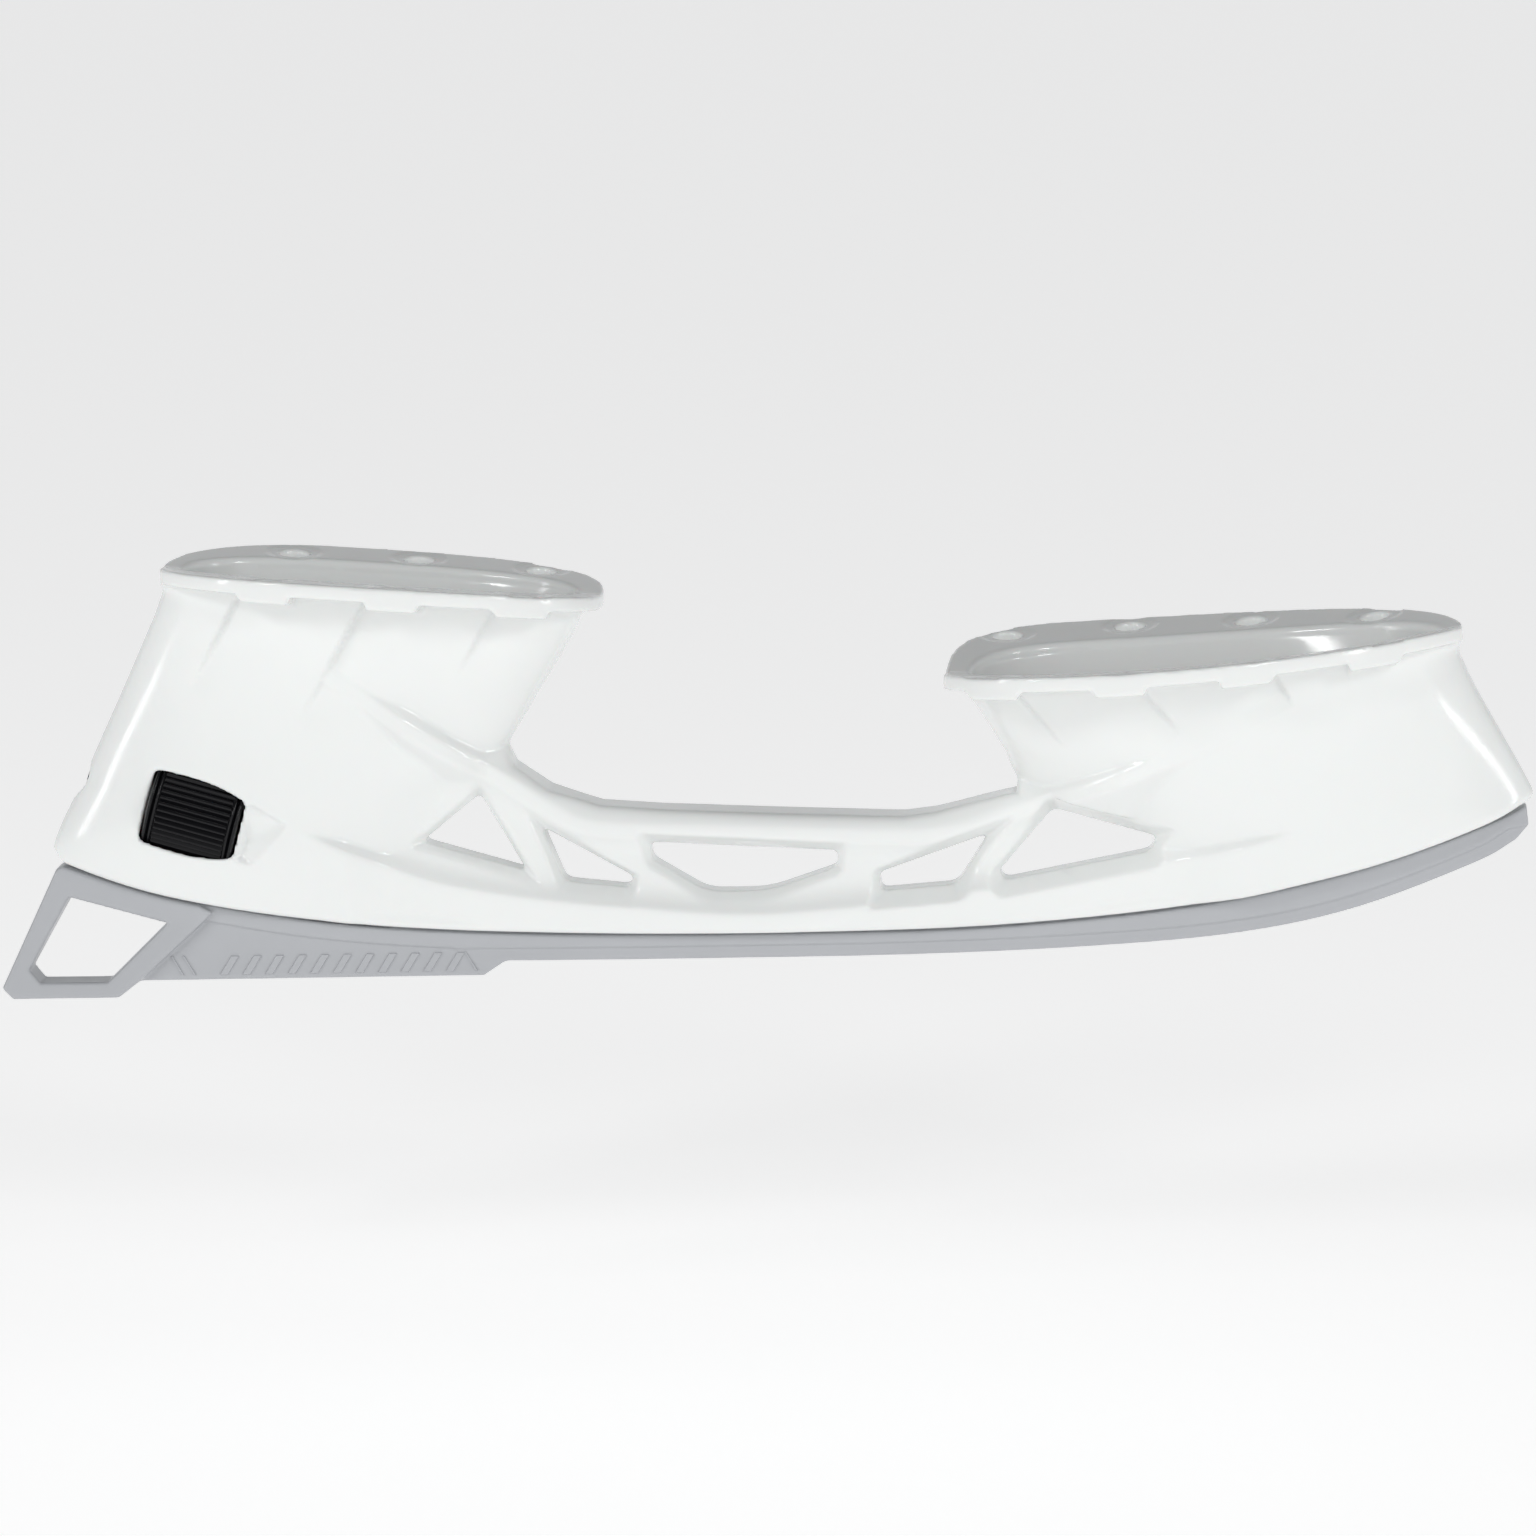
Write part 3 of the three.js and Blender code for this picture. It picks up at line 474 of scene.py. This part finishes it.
def creases(x, z):
    """Depth of the towers' shallow pockets, each sharp at its crease and fading away from it."""
    depth = 0.0
    for start, end, deep, wide in (
        ((-24.9, -3.4), (-34.4, -21.0), 1.3, 15.0),
        ((-2.0, -4.6), (-14.0, -26.4), 1.7, 17.0),
        ((21.7, -5.6), (15.0, -17.6), 1.3, 11.0),
        ((118.0, -19.4), (126.2, -29.6), -1.2, 12.0),
        ((140.5, -17.9), (146.8, -25.8), -1.3, 15.0),
        ((164.3, -15.4), (167.2, -20.8), -1.3, 20.0),
    ):
        along, aside = along_line(x, z, start, end)
        aside = -aside if deep > 0 else aside
        fade = np.clip(1.7 * (1.03 - along), 0, 1) * (1 - step(aside - wide * 0.35, wide * 0.9))
        depth = depth + 1.1 * abs(deep) * step(aside - 0.3, 0.6) * fade
    return np.minimum(depth, 1.7)


def scoops(x, z):
    """A triangular dish for the finger, in front of the thumbwheel's window."""
    top, corner, bottom = (-27.5, -39.6), (-16.4, -46.4), (-23.4, -54.6)
    _, under = along_line(x, z, top, corner)
    _, behind = along_line(x, z, corner, bottom)
    _, over = along_line(x, z, (-20.5, -54.3), (-40.0, -51.6))
    dish = smooth_min(smooth_min(under * 1.6, behind * 0.55, 0.4), over * 1.4, 0.4)
    along, _ = lock_frame(x, z)
    return np.clip(dish, 0, 2.2) * step(along - 9.6, 1.6)


def beam_half(ridge, beam, x):
    """Half width of a beam at its ridge: its own between the towers, and just proud of each tower's flank."""
    least = beam["half"]
    line = spline(ridge, 120)
    half = np.full(len(line), least)
    for levels, (start, full) in beam["towers"]:
        flank = tower_half_width(levels, line[:, 0], line[:, 1])
        fade = np.clip((line[:, 0] - start) / (full - start), 0, 1)
        raised = flank - 1.0 + (1.0 + RIB_PROUD) * fade
        inside = (line[:, 0] < 60) if levels is HEEL_TOWER else (line[:, 0] > 60)
        half = np.where(inside, smooth_max(raised, np.where(flank > least, least - 3.0, least), 1.5), half)
    beyond = np.maximum(line[0, 0] - x, x - line[-1, 0])
    return np.interp(x, line[:, 0], half) - np.clip(beyond, 0, 30)


def lock_frame(x, z):
    """Distances along the lock's axis and above it."""
    c, s = math.cos(LOCK["tilt"]), math.sin(LOCK["tilt"])
    return (x - LOCK["x"]) * c - (z - LOCK["z"]) * s, (x - LOCK["x"]) * s + (z - LOCK["z"]) * c


def lock_rooms(x, y, z):
    """Spaces of the lock: the window, the housing's room, the wheel's, the bores and the hook's slot."""
    along, above = lock_frame(x, z)
    radius = np.sqrt(above**2 + y**2)
    bend = np.where(along > -1, WHEEL_WINDOW["front_bend"], WHEEL_WINDOW["rear_bend"])
    opening = WHEEL_WINDOW["height"] - bend * (along + 1) ** 2
    flank = tower_distance(HEEL_TOWER, x, y, z) + scoops(x, z)
    length = np.abs(along) - WHEEL_WINDOW["half"]
    window = smooth_max(length, np.abs(above) - opening, WHEEL_WINDOW["corner"]) + 0 * y
    housing = np.maximum(np.abs(along) - HOUSING_ROOM["half"], radius - HOUSING_ROOM["radius"])
    housing = np.maximum(housing, np.abs(y) - HOUSING_ROOM["half_width"])
    housing = np.maximum(housing, flank + HOUSING_ROOM["skin"])
    wheel = np.maximum(length, radius - WHEEL["room"])
    wheel = np.maximum(wheel, flank + WHEEL_SKIN)
    rooms = np.minimum(np.minimum(window, housing), wheel)
    for bore, start, end in BORES:
        rooms = np.minimum(rooms, np.maximum(radius - bore, np.maximum(start - along, along - end)))
    slot = np.maximum(HOOK_SLOT["start"] - along, along - HOOK_SLOT["end"])
    slot = np.maximum(slot, np.maximum(np.abs(y) - HOOK_SLOT["half"], above - HOOK_SLOT["top"]))
    return np.minimum(rooms, np.maximum(slot, HOOK_SLOT["bottom"] - above))


def holder():
    """The shell: towers, beams, web with its windows, flanges, cups, groove and the lock's spaces."""
    pitch = 0.6
    axes = (axis_points(-64, 214, pitch), axis_points(pitch / 2, 37, pitch), axis_points(-69, 3, pitch))
    x, y, z = open_grid(axes)
    outline = polygon_distance([
        *HEEL_SPINE[::-1], (-45, 9), (45, 9), *BRIDGE_TOP, (101, 9), (205, 9), *TOE_PROW[::-1],
        *spline(SOLE_LINE, 60)[::-1],
    ], x, z)
    pockets = creases(x, z) + scoops(x, z)
    towers = [
        smooth_max(tower_distance(levels, x, y, z) + pockets, flange_top(flange, x, y, z) + 1.4, 0.5)
        for levels, flange in ((HEEL_TOWER, HEEL), (TOE_TOWER, TOE))
    ]
    body = np.minimum(*towers)

    above = height_above(spline(UPPER_RIDGE, 70), x, z)
    half = beam_half(UPPER_RIDGE, UPPER_BEAM, x)
    lean = 0.62 + 0.5 * (1 - step(x - 28, 12) * step(118 - x, 10))
    face = smooth_max(y - half, (y - half + lean * above) / np.sqrt(1 + lean**2), 0.4)
    upper = smooth_max(face, (y - half - 1.05 * (above + RIB_FACE)) * 0.69, 0.5)
    body = smooth_min(body, upper, 0.5)

    above = height_above(spline(LOWER_RIDGE, 70), x, z)
    half = beam_half(LOWER_RIDGE, LOWER_BEAM, x)
    below = (y - np.maximum(half + 0.34 * (above + 1.2), 5.1)) * 0.95
    crest = smooth_max(below, y - half, 0.4)
    lower = smooth_max(crest, (y - half + 1.15 * above) * 0.66, 0.5)
    body = smooth_min(body, lower, 0.6)

    web = smooth_max(y - WEB_HALF, polygon_distance(WEB, x, z), 0.5)
    body = smooth_min(body, web, 2.0)
    body = smooth_max(body, outline, 1.4)

    windows = convex_distance(WINDOWS[0], x, z, WINDOW_CORNER)
    for points in WINDOWS[1:]:
        windows = np.minimum(windows, convex_distance(points, x, z, WINDOW_CORNER))
    flare = np.clip(y - WINDOW_FLARE["from"], 0, WINDOW_FLARE["depth"]) * WINDOW_FLARE["slope"]
    body = smooth_max(body, flare - windows, 0.5)

    for flange in (HEEL, TOE):
        body = smooth_min(body, flange_slab(flange, x, y, z), 2.2)
    top = np.where(x < 72, flange_top(HEEL, x, y, z), flange_top(TOE, x, y, z))
    holes = np.minimum(rivet_holes(HEEL, x, y), rivet_holes(TOE, x, y))
    top = top + 0.22 * step(RING_RADIUS - RIVET_RADIUS - holes, 0.7)
    body = smooth_max(body, top, 0.7)

    for levels, floor in ((HEEL_TOWER, HEEL_CUP_FLOOR), (TOE_TOWER, TOE_CUP_FLOOR)):
        cup = smooth_max(tower_distance(levels, x, y, z, WALL), floor - z, 5.0)
        body = smooth_max(body, -cup, 1.2)
    body = smooth_max(body, -np.maximum(holes, -9 - top), 0.5)
    sole = height_above(spline(SOLE_LINE, 60), x, z)
    groove = np.maximum(y - GROOVE["half"], np.abs(sole) - GROOVE["depth"])
    body = np.maximum(body, -np.maximum(groove, np.abs(x - GROOVE["middle"]) - GROOVE["half_length"]))
    body = smooth_max(body, -lock_rooms(x, y, z), 0.6)

    piece = moulded("holder_shell", body, axes, pitch, 190000)
    finished(piece, "shell", "shell_white", WHITE, "holder")


# ---------------------------------------------------------------- runner
def shifted(line, distance):
    """A side view curve moved at right angles to itself."""
    line = np.array(line, float)
    slope = np.gradient(line, axis=0)
    slope /= np.linalg.norm(slope, axis=1, keepdims=True)
    return line + distance * np.stack([-slope[:, 1], slope[:, 0]], 1)


def stretch(line, start, end):
    """The part of a side view curve between two places along X."""
    line = np.array(line)
    inner = line[(line[:, 0] > start + 0.1) & (line[:, 0] < end - 0.1)]
    ends = [(x, np.interp(x, line[:, 0], line[:, 1])) for x in (start, end)]
    return [ends[0], *map(tuple, inner), ends[1]]


def runner():
    """The blank: band, edge, plate, handle, and the tongue and lugs that go up into the groove."""
    pitch = 0.42
    axes = (axis_points(-73, 213, pitch), axis_points(pitch / 2, 4.6, pitch), axis_points(-83, -37, pitch))
    x, y, z = open_grid(axes)
    sole = spline(SOLE_LINE, 80)
    rail = spline(RAIL_EDGE, 50)
    top = stretch(shifted(sole, -RUNNER["gap"]), -59, RAIL_TIP[1][0])
    heel_band = [(a, b - RUNNER["heel_band"]) for a, b in stretch(sole, -58, rail[0][0] - 2)]
    band = [*heel_band, *shifted(rail, RUNNER["edge_depth"]), *RAIL_TIP, *top[::-1]]
    edge = [*rail, RAIL_TIP[0], *shifted(rail, RUNNER["edge_depth"] + 1)[::-1]]

    def slab(outline, half, rounding):
        return smooth_max(polygon_distance(outline, x, z), y - half, rounding)

    body = smooth_min(slab(band, RUNNER["band"], 0.5), slab(edge, RUNNER["edge"], 0.4), 0.3)
    body = smooth_min(body, slab(PLATE, RUNNER["edge"], 0.4), 0.4)
    handle_top = stretch(shifted(sole, -RUNNER["gap"] - 0.2), HANDLE[0][0] + 1.2, -34)[::-1]
    handle = slab([*HANDLE, *handle_top], RUNNER["handle"], 0.8)
    hole = polygon_distance(HANDLE_HOLE, x, z)
    body = smooth_min(body, handle, 0.5)
    body = smooth_max(body, np.clip(y - RUNNER["hole_chamfer"], 0, 1) * 0.6 - hole, 0.4)
    for start, end in TONGUES:
        line = stretch(sole, start, end)
        tongue = [*[(a, b - 2) for a, b in line], *shifted(line, RUNNER["tongue_height"])[::-1]]
        body = np.minimum(body, slab(tongue, RUNNER["tongue"], 0.3))
    for lug in (REAR_LUG, FRONT_LUG):
        body = np.minimum(body, slab(lug, RUNNER["tongue"], 0.3))
    piece = moulded("runner_blank", body, axes, pitch, 150000)
    finished(piece, "runner", "runner_grey", GREY, "runner_insert")


def raised_ribs():
    """Slanted ribs that stand a little out of the plate on both sides, and thin ones near its ends."""
    layers = ((RUNNER["edge"] - RIBS["sunk"], 0.0), (RUNNER["edge"] + RIBS["proud"], RIBS["taper"]))
    vertices, faces = [], []
    for side in (-1, 1):
        for left, width in RIB_PLACES:
            slant = RIBS["lean"] if width > 1 else -RIBS["lean"]
            right = left + width
            base = len(vertices)
            foot = np.interp(left, (PLATE[0][0], PLATE[1][0]), (PLATE[0][1], PLATE[1][1])) + RIBS["foot"]
            head = foot + RIBS["height"]
            for depth, inset in layers:
                corners = (
                    (left + inset, foot + inset), (right - inset, foot + inset),
                    (right + slant - inset, head - inset), (left + slant + inset, head - inset),
                )
                vertices += [(a * MM, side * depth * MM, b * MM) for a, b in corners]
            ring = [(0, 1, 2, 3), (4, 5, 6, 7)] + [(k, (k + 1) % 4, (k + 1) % 4 + 4, k + 4) for k in range(4)]
            faces += [tuple(base + k for k in face) for face in ring]
    mesh = bpy.data.meshes.new("runner_ribs")
    mesh.from_pydata(vertices, [], faces)
    face_outward(mesh)
    finished(link("runner_ribs", mesh), "runner", "runner_grey", GREY)


# ---------------------------------------------------------------- lock
def turned_mesh(name, radius_at, places, segments):
    """A closed body round the X axis, whose radius depends on the place along it and the angle."""
    angles = np.linspace(0, 2 * math.pi, segments, endpoint=False)
    rings = []
    for place in places:
        radius = radius_at(place, angles)
        across, up = radius * np.cos(angles), radius * np.sin(angles)
        rings.append(np.stack([np.full(segments, place), across, up], 1))
    vertices = np.vstack(rings)
    k, i = np.meshgrid(np.arange(len(places) - 1), np.arange(segments), indexing="ij")
    j = (i + 1) % segments
    quads = np.stack([k * segments + i, (k + 1) * segments + i, (k + 1) * segments + j, k * segments + j], -1)
    mesh = bpy.data.meshes.new(name)
    caps = [list(range(segments)), list(range(segments * (len(places) - 1), segments * len(places)))[::-1]]
    faces = quads.reshape(-1, 4)[:, ::-1].tolist() + caps
    mesh.from_pydata((vertices * MM).tolist(), [], faces)
    face_outward(mesh)
    return mesh


def shade_smooth(piece, angle):
    """Smooth shading, with the edges that bend more than the angle left hard."""
    piece.data.polygons.foreach_set("use_smooth", np.ones(len(piece.data.polygons), bool))
    shape = bmesh.new()
    shape.from_mesh(piece.data)
    for edge in shape.edges:
        edge.smooth = len(edge.link_faces) == 2 and edge.calc_face_angle(0) < math.radians(angle)
    shape.to_mesh(piece.data)
    shape.free()


def thumbwheel():
    """A ribbed barrel between two plain rims, each with two beads."""
    half, rim = WHEEL["half"], WHEEL["rim"]

    def radius_at(place, angles):
        from_end = half - abs(place)
        if from_end < rim:
            bead = 2 * from_end / rim % 1.0
            return np.full(len(angles), WHEEL["radius"] - WHEEL["bead"] * (1 - math.sin(math.pi * bead)))
        ribs = 0.5 + 0.5 * np.cos(angles * WHEEL["ribs"])
        return WHEEL["ribbed"] - WHEEL["rib_depth"] * (1 - ribs**0.7)

    rims = [half - rim * k / 20 for k in range(21)]
    places = sorted({round(p, 3) for r in rims for p in (r, -r)} | {half - rim - 0.02, rim + 0.02 - half})
    mesh = turned_mesh("ribbed_thumbwheel", radius_at, places, WHEEL["ribs"] * 8)
    piece = link("ribbed_thumbwheel", mesh)
    piece.matrix_world = LOCK_PLACE
    shade_smooth(piece, 50)
    finished(piece, "wheel", "lock_black", BLACK, "thumbwheel")


def housing_half(name, side, node):
    """The half of the thumbwheel's housing above (side 1) or below (side -1) its split."""
    pitch = 0.3
    axes = (axis_points(-12, 12, pitch), axis_points(pitch / 2, 7.4, pitch), axis_points(-12.6, 12.6, pitch))
    x, y, z = open_grid(axes)
    radius = np.sqrt(y**2 + z**2)
    shell = smooth_max(radius - HOUSING["outer"], np.abs(x) - HOUSING["half"], 0.4)
    hollow = np.maximum(radius - HOUSING["inner"], np.abs(x) - HOUSING["plate"])
    body = smooth_max(smooth_max(shell, -hollow, 0.3), HOUSING["bore"] - radius, 0.3)
    body = smooth_max(body, y - HOUSING["half_width"], 0.4)
    body = smooth_max(body, HOUSING["split"] - side * z, 0.2)
    piece = moulded(name, body, axes, pitch, 60000)
    piece.matrix_world = LOCK_PLACE
    finished(piece, "shell", "lock_black", BLACK, node)


# ---------------------------------------------------------------- materials
def material(name, colour, roughness, metallic=0.0, variation=0.02, bump=0.02, bump_scale=900.0,
             rough_spread=0.06, subsurface=0.0, specular=0.5):
    """A surface whose colour and gloss vary slightly, with a fine bump."""
    made = bpy.data.materials.new(name)
    made.use_nodes = True
    nodes, links = made.node_tree.nodes, made.node_tree.links
    shader = nodes["Principled BSDF"]
    shader.inputs["Metallic"].default_value = metallic
    shader.inputs["Specular IOR Level"].default_value = specular
    if subsurface:
        shader.inputs["Subsurface Weight"].default_value = subsurface
        shader.inputs["Subsurface Scale"].default_value = 0.002
    place = nodes.new("ShaderNodeTexCoord")
    cloud = nodes.new("ShaderNodeTexNoise")
    cloud.inputs["Scale"].default_value = 45.0
    cloud.inputs["Detail"].default_value = 4.0
    links.new(place.outputs["Object"], cloud.inputs["Vector"])
    tint = nodes.new("ShaderNodeMix")
    tint.data_type = "RGBA"
    tint.inputs["A"].default_value = (*[c * (1 - variation) for c in colour], 1)
    tint.inputs["B"].default_value = (*[min(1, c * (1 + variation)) for c in colour], 1)
    links.new(cloud.outputs["Fac"], tint.inputs["Factor"])
    links.new(tint.outputs["Result"], shader.inputs["Base Color"])
    scuff = nodes.new("ShaderNodeTexNoise")
    scuff.inputs["Scale"].default_value = 140.0
    scuff.inputs["Detail"].default_value = 6.0
    links.new(place.outputs["Object"], scuff.inputs["Vector"])
    spread = nodes.new("ShaderNodeMapRange")
    spread.inputs["From Min"].default_value = 0.3
    spread.inputs["From Max"].default_value = 0.7
    spread.inputs["To Min"].default_value = max(0.02, roughness - rough_spread)
    spread.inputs["To Max"].default_value = roughness + rough_spread
    links.new(scuff.outputs["Fac"], spread.inputs["Value"])
    links.new(spread.outputs["Result"], shader.inputs["Roughness"])
    grain = nodes.new("ShaderNodeTexNoise")
    grain.inputs["Scale"].default_value = bump_scale
    grain.inputs["Detail"].default_value = 3.0
    links.new(place.outputs["Object"], grain.inputs["Vector"])
    relief = nodes.new("ShaderNodeBump")
    relief.inputs["Strength"].default_value = bump
    relief.inputs["Distance"].default_value = 0.0002
    links.new(grain.outputs["Fac"], relief.inputs["Height"])
    links.new(relief.outputs["Normal"], shader.inputs["Normal"])
    return made


def finished(piece, body, slot, look, *nodes):
    """Gives a piece its look, the body it rides with and the nodes it replaces."""
    piece.data.materials.clear()
    piece.data.materials.append(look)
    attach(piece, body)
    if nodes:
        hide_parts(*nodes)


WHITE = material("white_nylon", (0.81, 0.825, 0.815), 0.15, variation=0.01, bump=0.03, bump_scale=500.0,
                 rough_spread=0.04, subsurface=0.05)
GREY = material("satin_grey", (0.42, 0.43, 0.45), 0.34, bump=0.08, variation=0.04)
BLACK = material("gloss_black", (0.004, 0.004, 0.005), 0.1, bump=0.02, variation=0.2, rough_spread=0.03,
                 specular=0.25)
STEEL = material("turned_steel", (0.6, 0.61, 0.63), 0.3, metallic=1.0, bump=0.05)
BRASS = material("turned_brass", (0.72, 0.56, 0.27), 0.3, metallic=1.0, bump=0.05)
LOOKS = {
    "shell_white": WHITE, "runner_grey": GREY, "lock_black": BLACK, "lock_steel": STEEL,
    "lock_brass": BRASS,
}


def dress_frame():
    """The frame's own nodes keep their shape and take the looks of their slots."""
    for row in frame["record"]["subparts"]:
        node = frame["nodes"][row["node"]]
        node.data.materials.clear()
        node.data.materials.append(LOOKS[row["material_slot"]])


# ---------------------------------------------------------------- stage
# The floor's own light, and the world's strength at the horizon and overhead.
FLOOR_LIGHT, HORIZON, OVERHEAD = 0.61, 0.78, 0.14
# The camera's direction in degrees, its distance and target in metres, and its lens in millimetres.
VIEW = {"azimuth": 4.3, "elevation": 9.5, "distance": 1.4, "target": (0.071, 0.0, -0.0363), "lens": 179.0}


def stage():
    """A pale lit floor, and a world that is bright at the horizon and dim above."""
    floor_z = CAD_BOX[0].z - RUNNER_DROP
    mesh = bpy.data.meshes.new("floor")
    reach = 6.0
    mesh.from_pydata([(-reach, -reach, floor_z), (reach, -reach, floor_z), (reach, reach, floor_z),
                      (-reach, reach, floor_z)], [], [(0, 1, 2, 3)])
    floor = link("floor", mesh)
    pale = material("pale_floor", (0.72, 0.72, 0.72), 0.8, bump=0.0, variation=0.0)
    shader = pale.node_tree.nodes["Principled BSDF"]
    shader.inputs["Specular IOR Level"].default_value = 0.1
    shader.inputs["Emission Color"].default_value = (1, 1, 1, 1)
    shader.inputs["Emission Strength"].default_value = FLOOR_LIGHT
    floor.data.materials.append(pale)
    world = bpy.data.worlds.new("studio")
    bpy.context.scene.world = world
    world.use_nodes = True
    nodes, links = world.node_tree.nodes, world.node_tree.links
    direction = nodes.new("ShaderNodeTexCoord")
    parts = nodes.new("ShaderNodeSeparateXYZ")
    links.new(direction.outputs["Generated"], parts.inputs["Vector"])
    ramp = nodes.new("ShaderNodeMapRange")
    ramp.interpolation_type = "SMOOTHSTEP"
    for name, value in (("From Min", 0.1), ("From Max", 0.7), ("To Min", HORIZON), ("To Max", OVERHEAD)):
        ramp.inputs[name].default_value = value
    links.new(parts.outputs["Z"], ramp.inputs["Value"])
    nodes["Background"].inputs["Color"].default_value = (0.96, 0.97, 0.98, 1)
    links.new(ramp.outputs["Result"], nodes["Background"].inputs["Strength"])


def soft_box(name, place, target, width, height, power):
    lamp = bpy.data.lights.new(name, "AREA")
    lamp.shape = "RECTANGLE"
    lamp.size, lamp.size_y, lamp.energy = width, height, power
    box = bpy.data.objects.new(name, lamp)
    bpy.context.scene.collection.objects.link(box)
    box.location = place
    box.rotation_euler = (Vector(target) - Vector(place)).to_track_quat("-Z", "Y").to_euler()


def lights():
    """Two tall strips at the sides and two small boxes in front, in metres and watts."""
    middle = (0.07, 0, -0.035)
    soft_box("left", (-0.9, -0.6, 0.25), middle, 0.12, 0.7, 2.0)
    soft_box("right", (1.0, -0.55, 0.2), middle, 0.12, 0.6, 1.8)
    soft_box("front_left", (-0.5, -0.95, 0.5), middle, 0.16, 0.16, 1.8)
    soft_box("front_right", (0.62, -0.9, 0.42), middle, 0.16, 0.16, 1.6)


def camera():
    azimuth, elevation = math.radians(VIEW["azimuth"]), math.radians(VIEW["elevation"])
    target = Vector(VIEW["target"])
    back = Vector((math.sin(azimuth) * math.cos(elevation), -math.cos(azimuth) * math.cos(elevation),
                   math.sin(elevation)))
    lens = bpy.data.cameras.new("camera")
    lens.lens, lens.sensor_width = VIEW["lens"], 36.0
    lens.clip_start, lens.clip_end = 0.01, 50
    eye = bpy.data.objects.new("camera", lens)
    bpy.context.scene.collection.objects.link(eye)
    eye.location = target + VIEW["distance"] * back
    eye.rotation_euler = (-back).to_track_quat("-Z", "Y").to_euler()
    bpy.context.scene.camera = eye
    bpy.context.scene.view_settings.view_transform = "Standard"


camera()
stage()
lights()
dress_frame()
holder()
runner()
raised_ribs()
thumbwheel()
housing_half("upper_housing", 1, "lock_cage_upper")
housing_half("lower_housing", -1, "lock_cage_lower")
